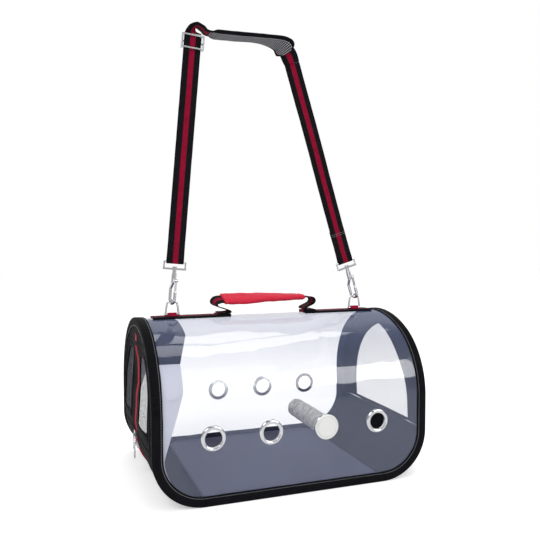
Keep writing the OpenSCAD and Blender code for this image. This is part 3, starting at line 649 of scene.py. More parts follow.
@dataclass
class MeshMaker:
    """Collects points and faces, with a UV for webbing, and makes one object of them."""

    points: list[Vec] = field(default_factory=list)
    faces: list[tuple[int, ...]] = field(default_factory=list)
    uvs: list[Point2] = field(default_factory=list)
    merge: float = 1e-6
    block_ring: tuple[Point2, ...] = ((-1, -0.55), (-0.6, -1), (0.6, -1), (1, -0.55),
                                      (1, 0.55), (0.6, 1), (-0.6, 1), (-1, 0.55))
    block_levels: tuple[Point2, ...] = ((-0.2, 1.0), (0.6, 1.0), (1.0, 0.7))

    def grid(self, rows: Sequence[Sequence[Vec]], around: bool = False,
             uv: Callable[[int, int], Point2] | None = None, caps: bool = False) -> "MeshMaker":
        """Adds a grid of quads.

        Args:
            rows: Rows of points, all of one length.
            around: True where each row is a closed ring.
            uv: Gives the UV of row i, column j.
            caps: True to close both ends of a tube.

        Returns:
            The maker itself.
        """
        start, width = len(self.points), len(rows[0])
        for i, row in enumerate(rows):
            for j, point in enumerate(row):
                self.points.append(np.asarray(point, dtype=float))
                self.uvs.append(uv(i, j) if uv else (0.0, 0.0))
        for i in range(len(rows) - 1):
            for j in range(width if around else width - 1):
                a, b = start + i * width + j, start + i * width + (j + 1) % width
                self.faces.append((a, b, b + width, a + width))
        if caps:
            end = start + (len(rows) - 1) * width
            self.faces.append(tuple(start + j for j in reversed(range(width))))
            self.faces.append(tuple(end + j for j in range(width)))
        return self

    def block(self, at: Vec, axes: Sequence[Vec], half: Sequence[float]) -> None:
        """Adds a small block with a smaller top, such as a stitch or a tooth.

        Args:
            at: Centre of its foot.
            axes: Its three directions, the last one away from the surface.
            half: Half sizes along the first two and the full height along the last.
        """
        rows = [[at + axes[0] * a * half[0] * size + axes[1] * b * half[1] * size + axes[2] * level * half[2]
                 for a, b in self.block_ring] for level, size in self.block_levels]
        self.grid(rows, around=True, caps=True)

    def build(self, name: str, material: Material, smooth: bool = True) -> Object:
        """Makes the object.

        Args:
            name: The object's name.
            material: Its material.
            smooth: True for smooth shading.

        Returns:
            The object, with its faces turned outwards.
        """
        mesh = bpy.data.meshes.new(name)
        mesh.from_pydata([tuple(p) for p in self.points], [], self.faces)
        layer = mesh.uv_layers.new(name="along")
        for loop in mesh.loops:
            layer.data[loop.index].uv = self.uvs[loop.vertex_index]
        work = bmesh.new()
        work.from_mesh(mesh)
        bmesh.ops.remove_doubles(work, verts=work.verts, dist=self.merge)
        bmesh.ops.recalc_face_normals(work, faces=work.faces)
        work.to_mesh(mesh)
        work.free()
        mesh.polygons.foreach_set("use_smooth", [smooth] * len(mesh.polygons))
        mesh.materials.append(material)
        obj = bpy.data.objects.new(name, mesh)
        bpy.context.scene.collection.objects.link(obj)
        return obj


def thicken(obj: Object, thickness: float, offset: float = -1.0) -> Object:
    """Gives a sheet its thickness.

    Args:
        obj: The sheet.
        thickness: Its thickness in metres.
        offset: -1 grows it inwards, 1 outwards.

    Returns:
        The object.
    """
    modifier = obj.modifiers.new("thickness", "SOLIDIFY")
    modifier.thickness = thickness
    modifier.offset = offset
    return obj


@dataclass
class Piece:
    """A finished piece: which slot it takes, where it rides and what it replaces."""

    obj: Object
    slot: Slot
    body: str = "root"
    replaces: str = ""
    # For a piece that bends: the last place that stays with the root, and the first that goes with the body
    fold: tuple[Sequence[float], Sequence[float]] | None = None

    def settle(self) -> Object:
        """Hands the piece to the frame and reports it.

        Returns:
            The object.
        """
        if self.fold:
            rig.blend(self.obj, "root", self.body, start=self.fold[0], end=self.fold[1])
        else:
            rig.ride(self.obj, self.body)
        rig.slot(self.obj, self.slot.value)
        if self.replaces:
            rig.replaces(self.obj, self.replaces)
        LOG.info("%s: %d faces on %s", self.obj.name, len(self.obj.data.polygons), self.body)
        return self.obj

    def stretched(self, width: float, length: float, *held_by: str) -> None:
        """Hands over a panel that was cut flat and sewn in with a light pull.

        Args:
            width: Width of its cut.
            length: Length of its cut.
            held_by: The pieces it is sewn to.
        """
        area = sum(face.area for face in self.obj.data.polygons)
        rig.sheet(self.settle(), flat=(width, length), held="stretched", rests_on=held_by,
                 area=min(area, width * length))
        LOG.info("%s: cut %.3f by %.3f m, area %.4f", self.obj.name, width, length, area)


@dataclass(frozen=True)
class Outline:
    """The bag's arch and rounded lower corners, in metres. Lengths along the arch start at its front foot."""

    half_l: float = 0.210
    half_w: float = 0.140
    floor: float = 0.002
    corner: float = 0.071
    side: float = 0.115
    crown: float = 0.165
    ridge: float = 0.246
    wall_steps: int = 160

    @property
    def corner_x(self) -> float:
        """Half length of the flat floor."""
        return self.half_l - self.corner

    @property
    def corner_z(self) -> float:
        """Height of the corners' centres."""
        return self.floor + self.corner

    @property
    def side_y(self) -> float:
        """Distance of the side arcs' centres from the middle."""
        return self.half_w - self.side

    @property
    def crown_z(self) -> float:
        """Height of the crown arc's centre."""
        return self.ridge - self.crown

    @property
    def turn(self) -> float:
        """Half angle of the crown arc."""
        return math.asin(self.side_y / (self.crown - self.side))

    @property
    def spring_z(self) -> float:
        """Height where the side arcs start."""
        return self.crown_z + math.sqrt((self.crown - self.side) ** 2 - self.side_y ** 2)

    @property
    def straight(self) -> float:
        """Length of a straight side."""
        return self.spring_z - self.corner_z

    @property
    def side_run(self) -> float:
        """Length of a side arc."""
        return self.side * (math.pi / 2 - self.turn)

    @property
    def length(self) -> float:
        """Length of the arch above the corners."""
        return 2 * (self.straight + self.side_run + self.crown * self.turn)

    def at(self, s: float, inset: float = 0.0) -> tuple[Vec, Vec]:
        """Gives a point on the arch.

        Args:
            s: Length along the arch; below 0 and above its length it runs straight down.
            inset: Distance inside the outline.

        Returns:
            The point and the outward normal, both with X at 0.
        """
        mirrored = s > self.length / 2
        if mirrored:
            s = self.length - s
        if s < self.straight:
            point, normal = (-self.half_w, self.corner_z + s), (-1.0, 0.0)
        elif s < self.straight + self.side_run:
            angle = math.pi - (s - self.straight) / self.side
            normal = (math.cos(angle), math.sin(angle))
            point = (-self.side_y + self.side * normal[0], self.spring_z + self.side * normal[1])
        else:
            angle = math.pi / 2 + self.turn - (s - self.straight - self.side_run) / self.crown
            normal = (math.cos(angle), math.sin(angle))
            point = (self.crown * normal[0], self.crown_z + self.crown * normal[1])
        flip = -1.0 if mirrored else 1.0
        out = vec(0, flip * normal[0], normal[1])
        return vec(0, flip * point[0], point[1]) - out * inset, out

    def half_x(self, z: float) -> float:
        """Gives the half length of the front at a height.

        Args:
            z: The height.

        Returns:
            The half length, shorter beside the rounded corners.
        """
        if z >= self.corner_z:
            return self.half_l
        return self.corner_x + math.sqrt(max(self.corner ** 2 - (self.corner_z - z) ** 2, 0.0))

    def wall(self, inset: float) -> list[Point2]:
        """Gives an end wall's outline in Y and Z, from the front foot to the back one, inset all round."""
        points = [self.at(self.length * i / self.wall_steps, inset)[0] for i in range(self.wall_steps + 1)]
        return [(float(p[1]), float(p[2])) for p in points]


def clip(polygon: list[Point2], a: float, b: float, c: float) -> list[Point2]:
    """Cuts a convex polygon along a line.

    Args:
        polygon: The polygon.
        a, b, c: The part where a*y + b*z is at least c is kept.

    Returns:
        The part that is kept.
    """
    out: list[Point2] = []
    for i, p in enumerate(polygon):
        q = polygon[(i + 1) % len(polygon)]
        dp, dq = a * p[0] + b * p[1] - c, a * q[0] + b * q[1] - c
        if dp >= 0:
            out.append(p)
        if (dp >= 0) != (dq >= 0):
            t = dp / (dp - dq)
            out.append((p[0] + t * (q[0] - p[0]), p[1] + t * (q[1] - p[1])))
    return out


def window(polygon: list[Point2], y0: float, y1: float, z0: float, z1: float) -> list[Point2]:
    """Cuts a convex polygon with a rectangle.

    Args:
        polygon: The polygon.
        y0, y1: The rectangle's ends across the bag.
        z0, z1: Its heights.

    Returns:
        The part inside the rectangle.
    """
    for a, b, c in ((1, 0, y0), (-1, 0, -y1), (0, 1, z0), (0, -1, -z1)):
        polygon = clip(polygon, a, b, c)
    return polygon


def cast(polygon: Sequence[Point2], centre: Point2, angle: float) -> Point2:
    """Finds where a ray leaves a polygon.

    Args:
        polygon: The polygon.
        centre: Where the ray starts.
        angle: Its direction.

    Returns:
        The point on the polygon's edge.
    """
    dy, dz = math.cos(angle), math.sin(angle)
    parallel, slack = 1e-12, 1e-6
    best = 0.0
    for i, p in enumerate(polygon):
        q = polygon[(i + 1) % len(polygon)]
        ey, ez = q[0] - p[0], q[1] - p[1]
        cross = dy * ez - dz * ey
        if abs(cross) < parallel:
            continue
        py, pz = p[0] - centre[0], p[1] - centre[1]
        t, u = (py * ez - pz * ey) / cross, (py * dz - pz * dy) / cross
        if t > 0 and -slack <= u <= 1 + slack:
            best = max(best, t)
    return centre[0] + best * dy, centre[1] + best * dz


def sharp_angles(polygon: Sequence[Point2], centre: Point2) -> list[float]:
    """Finds a polygon's sharp corners, so that a ring of points can meet them.

    Args:
        polygon: The polygon.
        centre: Where it is seen from.

    Returns:
        The directions from the centre to the corners.
    """
    found = []
    sharp = 0.2
    for i, p in enumerate(polygon):
        a, b = polygon[i - 1], polygon[(i + 1) % len(polygon)]
        turn = math.atan2(b[1] - p[1], b[0] - p[0]) - math.atan2(p[1] - a[1], p[0] - a[0])
        if abs((turn + math.pi) % (2 * math.pi) - math.pi) > sharp:
            found.append(math.atan2(p[1] - centre[1], p[0] - centre[0]))
    return found


def spaced(line: Sequence[Vec], pitch: float, start: float) -> Iterator[tuple[int, float, Vec, Vec]]:
    """Walks along a line in even steps.

    Args:
        line: The line's points.
        pitch: Length of a step.
        start: Length before the first one.

    Yields:
        For each step the stretch's index, its share of the stretch, the place and the way along.
    """
    rest, smallest = start, 1e-6
    for i, (a, b) in enumerate(zip(line[:-1], line[1:])):
        length = float(np.linalg.norm(b - a))
        if length < smallest:
            continue
        way = (b - a) / length
        while rest < length:
            yield i, rest / length, a + way * rest, way
            rest += pitch
        rest -= length


@dataclass(frozen=True)
class Seam:
    """A place on a bound seam: its edge, the normals of its two faces and the way along."""

    at: Vec
    face: Vec
    end: Vec


@dataclass(kw_only=True)
class Binding:
    """Bound edges: a folded tape over each seam, with its stitch lines."""

    outline: Outline
    finishes: Finishes
    width: float = 0.013
    thick: float = 0.002
    stitch: Size3 = (0.0013, 0.00028, 0.00045)
    stitch_pitch: float = 0.0038
    stitch_inset: float = 0.0027
    corner_steps: int = 24
    arch_steps: int = 150
    floor_steps: int = 60

    def end_loop(self, end: Side) -> list[Seam]:
        """Gives the seam round one end, from the front floor over the arch to the back floor.

        Args:
            end: The bag's left or right end.

        Returns:
            The seam's places.
        """
        o = self.outline
        corners = []
        for wall in WALLS:
            middle = vec(end.sign * o.corner_x, wall.sign * o.half_w, o.corner_z)
            corner = []
            for i in range(self.corner_steps + 1):
                angle = math.pi / 2 * i / self.corner_steps
                radial = vec(end.sign * math.sin(angle), 0, -math.cos(angle))
                corner.append(Seam(middle + radial * o.corner, vec(0, wall.sign, 0), radial))
            corners.append(corner)
        arch = []
        for i in range(1, self.arch_steps):
            point, normal = o.at(o.length * i / self.arch_steps)
            arch.append(Seam(point + vec(end.sign * o.half_l, 0, 0), normal, vec(end.sign, 0, 0)))
        return corners[0] + arch + corners[1][::-1]

    def floor_line(self, wall: Side) -> list[Seam]:
        """Gives the seam along the floor's front or back.

        Args:
            wall: The bag's front or back.

        Returns:
            The seam's places.
        """
        o = self.outline
        places = [-o.corner_x + 2 * o.corner_x * i / self.floor_steps for i in range(self.floor_steps + 1)]
        return [Seam(vec(x, wall.sign * o.half_w, o.floor), vec(0, wall.sign, 0),
                     vec(0, 0, -1)) for x in places]

    def tape(self, seams: Sequence[Seam]) -> MeshMaker:
        """Sweeps the folded tape along a seam.

        Args:
            seams: The seam's places.

        Returns:
            The tape's mesh, its fold on the edge and a leg on each face.
        """
        t = self.thick
        rows = []
        for s in seams:
            puff = 0.00022 * ripple(*s.at, 0.012) + 0.00015 * ripple(*s.at, 0.004)
            reach = self.width + 0.0005 * ripple(*s.at, 0.021)
            profile = [(0.0001, -reach), (0.7 * t, -reach), (0.9 * t + puff, -reach + 0.001),
                       (0.55 * t, -reach + 0.0027), (0.95 * t + puff, -reach + 0.0045), (t, -0.004), (t, 0.0),
                       (0.8 * t, 0.55 * t), (0.55 * t, 0.8 * t), (0.0, t), (-0.004, t),
                       (-reach + 0.0045, 0.95 * t + puff), (-reach + 0.0027, 0.55 * t),
                       (-reach + 0.001, 0.9 * t + puff), (-reach, 0.7 * t), (-reach, 0.0001), (0.0, 0.0)]
            rows.append([s.at + s.face * a + s.end * b for a, b in profile])
        return MeshMaker().grid(rows, around=True, caps=True)

    def stitches(self, seams: Sequence[Seam]) -> MeshMaker:
        """Lays a row of stitches on each leg of the tape.

        Args:
            seams: The seam's places.

        Returns:
            The stitches' mesh.
        """
        maker = MeshMaker()
        low, inset = 0.55 * self.thick, self.width - self.stitch_inset
        for i, mix, at, way in spaced([s.at for s in seams], self.stitch_pitch, self.stitch_pitch / 2):
            face = seams[i].face * (1 - mix) + seams[i + 1].face * mix
            end = seams[i].end * (1 - mix) + seams[i + 1].end * mix
            maker.block(at - end * inset + face * low, (way, end, face), self.stitch)
            maker.block(at - face * inset + end * low, (way, face, end), self.stitch)
        return maker

    def build(self) -> None:
        """Builds the four bound edges."""
        for side in ENDS + WALLS:
            name = "binding_" + side.word
            seams = self.end_loop(side) if side in ENDS else self.floor_line(side)
            tape = self.tape(seams).build("tape_" + name, self.finishes.binding)
            Piece(tape, Slot.BINDING_TAPE, replaces=name).settle()
            thread = self.stitches(seams).build("thread_" + name, self.finishes.thread, smooth=False)
            Piece(thread, Slot.BINDING_TAPE).settle()


@dataclass(kw_only=True)
class ClearTunnel:
    """The clear sheet over front, top and back, and the strip behind its left edge."""

    outline: Outline
    finishes: Finishes
    # Flat size, round the bag and along it
    cut: Point2 = (0.658, 0.420)
    step: float = 0.005
    hole: float = 0.014
    # The strip behind the left edge: its width at the sides and what it gains over the crown, where the crown
    # starts along the arch, how far it runs on round the corner, its width there and its slope
    reach: float = 0.043
    flare: float = 0.018
    crown: float = 0.130
    tail: float = 0.045
    foot: float = 0.0165
    slope: float = 0.3
    cloth: float = 0.0006
    eyelet_count: int = 4
    eyelets: list[Point2] = field(init=False)

    def __post_init__(self) -> None:
        """Takes the eyelets' places from the frame."""
        low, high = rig.box("front_eyelets")
        across = high.z - low.z
        pitch = (high.x - low.x - across) / (self.eyelet_count - 1)
        self.eyelets = [(low.x + across / 2 + i * pitch, (low.z + high.z) / 2)
                        for i in range(self.eyelet_count)]

    def calm(self, x: float, s: float, z: float, edge: float) -> float:
        """Gives how freely the sheet can wave: 0 on fixed lines and 1 in the open.

        Args:
            x: Place along the bag.
            s: Length along the arch.
            z: Height.
            edge: Half length of the sheet at this height.

        Returns:
            A factor from 0 to 1.
        """
        tape, washer, webbing, webbing_end, under_handle = 0.012, 0.019, 0.014, 0.058, 0.6
        factor = smoothstep((edge - abs(x) - tape) / 0.045)
        factor *= smoothstep((z - self.outline.floor - tape) / 0.04)
        near = min(math.hypot(x - ex, z - ez) for ex, ez in self.eyelets)
        factor *= smoothstep((near - washer) / 0.02)
        if abs(x) <= webbing_end:
            return factor * under_handle
        return factor * smoothstep((abs(s - self.outline.length / 2) - webbing) / 0.03)

    def point(self, u: float, s: float) -> Vec:
        """Gives a point of the sheet.

        Args:
            u: -1 at the left edge and 1 at the right one.
            s: Length along the arch.

        Returns:
            The point, in metres.
        """
        o = self.outline
        base, normal = o.at(s)
        edge = o.half_x(base[2])
        x = u * edge
        wave = 0.0013 * ripple(x, s, 0.3, 0.11) + 0.0006 * ripple(x, s, 4.1, 0.038)
        fold = 0.0012 * math.sin((x + 0.35 * s) / 0.021) * smoothstep((0.16 - abs(s - 0.18)) / 0.1) * 0.35
        lift = (wave + fold - 0.0006) * self.calm(x, s, base[2], edge)
        return vec(x, 0, 0) + base + normal * lift

    def build(self) -> None:
        """Builds the sheet, and the facing and the doubling behind its left edge."""
        o = self.outline
        drop = o.corner - 0.0004
        count = round((o.length + 2 * drop) / self.step)
        across = round(2 * o.half_l / self.step)
        rows = [[self.point(2 * j / across - 1, -drop + (o.length + 2 * drop) * i / count)
                 for j in range(across + 1)] for i in range(count + 1)]
        maker = MeshMaker().grid(rows)
        self.punch(maker)
        sheet = maker.build("vinyl_sheet", self.finishes.vinyl)
        Piece(sheet, Slot.CLEAR_PVC, replaces="clear_sheet").stretched(
            *self.cut, "tape_binding_left", "tape_binding_right")
        self.facing()

    def punch(self, maker: MeshMaker) -> None:
        """Opens the eyelets' holes and draws the points beside each hole to its rim.

        Args:
            maker: The sheet's mesh.
        """
        upright, drawn = 0.1, 0.0028

        def holds(face: tuple[int, ...]) -> bool:
            """Tells whether a face stays."""
            x, y, z = sum(maker.points[k] for k in face) / 4
            return abs(y) < upright or all(math.hypot(x - ex, z - ez) > self.hole for ex, ez in self.eyelets)

        maker.faces = [face for face in maker.faces if holds(face)]
        for point in maker.points:
            for ex, ez in self.eyelets:
                reach = math.hypot(point[0] - ex, point[2] - ez)
                if abs(point[1]) > upright and reach < self.hole + drawn:
                    scale = self.hole / max(reach, maker.merge)
                    point[0], point[2] = ex + (point[0] - ex) * scale, ez + (point[2] - ez) * scale

    def facing(self) -> None:
        """Builds the dark facing behind the sheet's left crown, and the frosted doubling down both sides."""
        end = self.outline.length
        facing = self.strip("facing_left", self.crown, end - self.crown, self.finishes.oxford)
        Piece(thicken(facing, self.cloth), Slot.BLACK_FABRIC).stretched(
            self.reach + self.flare, end - 2 * self.crown, "tape_binding_left")
        for wall, start, stop in ((Side.FRONT, -self.tail, self.crown),
                                  (Side.BACK, end - self.crown, end + self.tail)):
            doubling = self.strip("doubling_left_" + wall.word, start, stop, self.finishes.frosted)
            Piece(doubling, Slot.CLEAR_PVC).stretched(self.reach, stop - start, "tape_binding_left")

    def strip(self, name: str, start: float, stop: float, material: Material) -> Object:
        """Builds a stretch of the strip behind the sheet's left edge, which narrows towards the floor.

        Args:
            name: The strip's name.
            start: Length along the arch where it starts.
            stop: Length along the arch where it stops.
            material: Its material.

        Returns:
            The object.
        """
        o = self.outline
        rows = []
        count = round((stop - start) / self.step)
        under, least, flaring, inset, steps = 0.0016, 0.015, 0.31, 0.001, 5
        for i in range(count + 1):
            s = start + (stop - start) * i / count
            base, normal = o.at(s, under)
            rise = min(s, o.length - s)
            reach = min(max(self.foot + self.slope * rise, least), self.reach)
            reach += min(max(rise - self.crown, 0.0) * flaring, self.flare)
            left = -o.half_x(base[2]) + inset
            rows.append([base - normal * (0.0004 * k) + vec(left + (reach - inset) * k / steps, 0, 0)
                         for k in range(steps + 1)])
        return MeshMaker().grid(rows).build(name, material)


@dataclass(kw_only=True)
class Base:
    """The black bottom panel that turns up round both ends, and the board that lies on it."""

    outline: Outline
    finishes: Finishes
    cloth: float = 0.0012
    inset: float = 0.0008
    sag: float = 0.0016
    wave: float = 0.0009
    belly: float = 0.0012
    corner_steps: int = 22
    floor_steps: int = 60
    across_steps: int = 56
    # Inset and height of the board, from under it over its edge to its middle
    board_profile: tuple[Point2, ...] = (
        (0.1, 0.0), (0.02, 0.0), (0.0022, 0.0), (0.0006, 0.0004), (0.0, 0.0014), (0.0, 0.0030),
        (0.0005, 0.0040), (0.0018, 0.0044), (0.005, 0.0045), (0.012, 0.0043), (0.03, 0.0043),
        (0.06, 0.0044), (0.1, 0.0043), (0.136, 0.0043))
    board_steps: int = 144

    def build(self) -> None:
        """Builds the panel and the board."""
        self.panel()
        self.board()

    def panel(self) -> None:
        """Builds the panel: a floor that sags to the ground between its bound edges, with upturned ends."""
        o = self.outline
        rows = []
        steps, last = self.corner_steps, 2 * self.corner_steps + self.floor_steps
        for i in range(last + 1):
            row = []
            for j in range(self.across_steps + 1):
                y = (o.half_w - self.inset) * (2 * j / self.across_steps - 1)
                middle = smoothstep((o.half_w - abs(y) - 0.012) / 0.03)
                if steps <= i <= last - steps:
                    x = o.corner_x * ((i - steps) / (self.floor_steps / 2) - 1)
                    sag = self.sag * middle * smoothstep((o.corner_x - abs(x)) / 0.03)
                    row.append(vec(x, y, o.floor - sag))
                    continue
                side = -1 if i < steps else 1
                part = (i if side < 0 else last - i) / steps
                angle = math.pi / 2 * (1 - part)
                radial = vec(side * math.sin(angle), 0, -math.cos(angle))
                wave = self.wave * ripple(side, y, angle * o.corner, 0.045) * middle
                wave *= math.sin(math.pi * part)
                belly = self.belly * middle * (1 - part)
                row.append(vec(side * o.corner_x, y, o.corner_z) + radial * (o.corner + wave + belly))
            rows.append(row)
        panel = thicken(MeshMaker().grid(rows).build("floor_panel", self.finishes.oxford), self.cloth)
        Piece(panel, Slot.BLACK_FABRIC, replaces="bottom_panel").stretched(
            2 * o.half_w, 2 * o.corner_x + math.pi * (o.corner + 0.001),
            "tape_binding_front", "tape_binding_back")

    def board(self) -> None:
        """Builds the cloth-covered board: soft edges, and a cover that wrinkles a little near its corners."""
        low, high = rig.box("base_board")
        rows = []
        least, corner_cut = 0.0005, 0.035
        half_x, half_y = (high.x - low.x) / 2, (high.y - low.y) / 2
        for inset, rise in self.board_profile:
            ring = []
            for k in range(self.board_steps):
                angle = 2 * math.pi * (k + 0.5) / self.board_steps
                reach = 1 / max(abs(math.cos(angle)), abs(math.sin(angle)))
                fillet = 1 - corner_cut * (1 - smoothstep((1.38 - reach) / 0.05))
                x = math.cos(angle) * reach * fillet * max(half_x - inset, least)
                y = math.sin(angle) * reach * fillet * max(half_y - inset, least)
                bump = 0.00025 * ripple(x, y, 0.0, 0.03) if rise > 0.002 else 0.0
                ring.append(vec(x, y, low.z + rise + bump))
            rows.append(ring)
        # Its grey finish is painted reflection of the bright ground in the clear sheet; the cloth itself is black
        board = MeshMaker().grid(rows, around=True, caps=True).build("floor_board", self.finishes.floor)
        Piece(board, Slot.FLOOR_BOARD, replaces="base_board").settle()


@dataclass(kw_only=True)
class EndPanel:
    """Makes cloth panels between two outlines on an end of the bag."""

    outline: Outline
    finishes: Finishes
    side: Side
    cloth: float = 0.0012
    inset: float = 0.0008
    # Place of a mesh against its cloth, outwards positive
    behind: float = -0.0006
    panel_steps: int = 180
    trim_steps: int = 220
    stitch: Size3 = (0.0012, 0.00025, 0.0004)
    stitch_pitch: float = 0.0036

    def bulge(self, y: float, z: float) -> float:
        """Gives how far the cloth stands out from its plane.

        Args:
            y: Place across the bag.
            z: Height.

        Returns:
            The distance in metres, outwards positive.
        """
        o = self.outline
        drop = z - o.spring_z
        if drop <= 0:
            rim = o.half_w - abs(y)
        elif abs(y) > o.side_y:
            rim = o.side - math.hypot(abs(y) - o.side_y, drop)
        else:
            rim = o.crown - math.hypot(y, z - o.crown_z)
        open_part = smoothstep((rim - 0.004) / 0.05)
        if self.side is Side.RIGHT:
            return open_part * (0.05 * (0.138 - z) + 0.0016 * ripple(y, z, 1.0, 0.07))
        foot = smoothstep((z - o.corner_z) / 0.02)
        zip_line = 0.002 * smoothstep((0.125 - z) / 0.04) - 0.0035 * smoothstep((z - 0.125) / 0.03)
        zip_line *= smoothstep((0.208 - z) / 0.03) * foot
        pane = 0.06 * (0.15 - z) + 0.0018 * ripple(y, z, 2.0, 0.06)
        mix = smoothstep((abs(y) - 0.006) / 0.035)
        return open_part * (zip_line * (1 - mix) + pane * mix * (0.35 + 0.65 * foot))

    def place(self, y: float, z: float, out: float = 0.0) -> Vec:
        """Puts a point of the end wall in space, some distance outside the cloth's plane."""
        x = self.outline.half_l + self.bulge(y, z) + out
        return vec(self.side.sign * x, y, z)

    def angles(self, count: int, centre: Point2, *outlines: Sequence[Point2]) -> list[float]:
        """Gives the directions of a ring of points, with every sharp corner among them.

        Args:
            count: Even steps of the ring.
            centre: Its centre.
            outlines: The outlines whose corners it meets.

        Returns:
            The directions, in order.
        """
        found = {2 * math.pi * k / count - math.pi for k in range(count)}
        for outline in outlines:
            found.update(sharp_angles(outline, centre))
        return sorted(found)

    def panel(self, outer: list[Point2], inner: list[Point2], centre: Point2, name: str,
              material: Material, rings: int = 10) -> Object:
        """Makes a cloth panel between two outlines that both surround a centre, or a mesh that fills one.

        Args:
            outer: The outer outline in Y and Z.
            inner: The inner outline, or an empty list for a mesh, a single layer behind the cloth.
            centre: A point that sees both outlines whole.
            name: The object's name.
            material: Its material.
            rings: Rings of faces.

        Returns:
            The object.
        """
        out, hub = (0.0 if inner else self.behind), 0.01
        angles = self.angles(self.panel_steps, centre, outer, inner)
        rows = []
        for k in range(rings + 1):
            mix = k / rings
            ring = []
            for angle in angles:
                far = cast(outer, centre, angle)
                near = cast(inner, centre, angle) if inner else (centre[0] + hub * (far[0] - centre[0]),
                                                                 centre[1] + hub * (far[1] - centre[1]))
                y, z = (a + mix * (b - a) for a, b in zip(near, far))
                ring.append(self.place(y, z, out))
            rows.append(ring)
        maker = MeshMaker().grid(rows, around=True)
        if inner:
            return thicken(maker.build(name, material), self.cloth, 0.0)
        maker.faces.append(tuple(range(len(rows[0]))))
        return maker.build(name, material)

    def trim(self, outline: list[Point2], centre: Point2, width: float, name: str,
             body: str = "root") -> None:
        """Sews a flat tape with a stitch line round the outside of an outline.

        Args:
            outline: The outline in Y and Z.
            centre: A point inside it.
            width: Width of the tape.
            name: The object's name.
            body: The body it rides on.
        """
        maker, thread = MeshMaker(), MeshMaker()
        rows, line = [], []
        seam, sunk, first = 0.45, 0.0011, 0.001
        profile = ((-0.0006, 0.0003), (-0.0003, 0.0013), (0.2 * width, 0.0015), (seam * width, sunk),
                   (0.75 * width, 0.0014), (width - 0.0003, 0.0011), (width, 0.0003), (width, -0.0004),
                   (-0.0006, -0.0004))
        for angle in self.angles(self.trim_steps, centre, outline):
            y, z = cast(outline, centre, angle)
            way = np.array([y - centre[0], z - centre[1]])
            way = way / np.linalg.norm(way)
            rows.append([self.place(y + way[0] * a, z + way[1] * a, h) for a, h in profile])
            line.append(self.place(y + way[0] * seam * width, z + way[1] * seam * width, sunk))
        maker.grid([*rows, rows[0]], around=True)
        Piece(maker.build(name, self.finishes.binding), Slot.BINDING_TAPE, body).settle()
        normal = vec(self.side.sign, 0, 0)
        for _, _, at, way in spaced([*line, line[0]], self.stitch_pitch, first):
            thread.block(at, (way, np.cross(way, normal), normal), self.stitch)
        stitches = thread.build("thread_" + name, self.finishes.thread_dark, smooth=False)
        Piece(stitches, Slot.BINDING_TAPE, body).settle()


@dataclass(kw_only=True)
class MeshEnd(EndPanel):
    """The far end: a black panel with a pointed mesh window."""

    side: Side = Side.RIGHT
    half: float = 0.090
    foot: float = 0.077
    spring: float = 0.100
    top: float = 0.222
    centre: Point2 = (0.0, 0.135)
    trim_width: float = 0.0075
    hem: float = 0.001
    arc_steps: int = 40

    def window(self) -> list[Point2]:
        """Gives the window's outline.

        Returns:
            The outline in Y and Z: a rectangle under a pointed arch.
        """
        radius = (self.half ** 2 + (self.top - self.spring) ** 2) / (2 * self.half)
        centre = radius - self.half
        turns = [math.acos(centre / radius) * k / self.arc_steps for k in range(self.arc_steps + 1)]
        right = [(radius * math.cos(turn) - centre, self.spring + radius * math.sin(turn)) for turn in turns]
        left = [(-y, z) for y, z in reversed(right[:-1])]
        return [(-self.half, self.foot), (self.half, self.foot), *right, *left]

    def build(self) -> None:
        """Builds the panel, the mesh and the window's trim."""
        o = self.outline
        hole = self.window()
        panel = self.panel(o.wall(self.inset), hole, self.centre, "end_panel_right", self.finishes.oxford)
        Piece(panel, Slot.BLACK_FABRIC, replaces="right_end_panel").stretched(
            2 * o.half_w, o.ridge - o.corner_z + 2 * self.hem, "tape_binding_right")
        mesh = self.panel(hole, [], self.centre, "window_mesh_right", self.finishes.mesh, rings=14)
        Piece(mesh, Slot.BLACK_MESH, replaces="right_mesh").stretched(
            2 * self.half + self.hem, self.top - self.foot + self.hem, "window_trim_right")
        self.trim(hole, self.centre, self.trim_width, "window_trim_right")


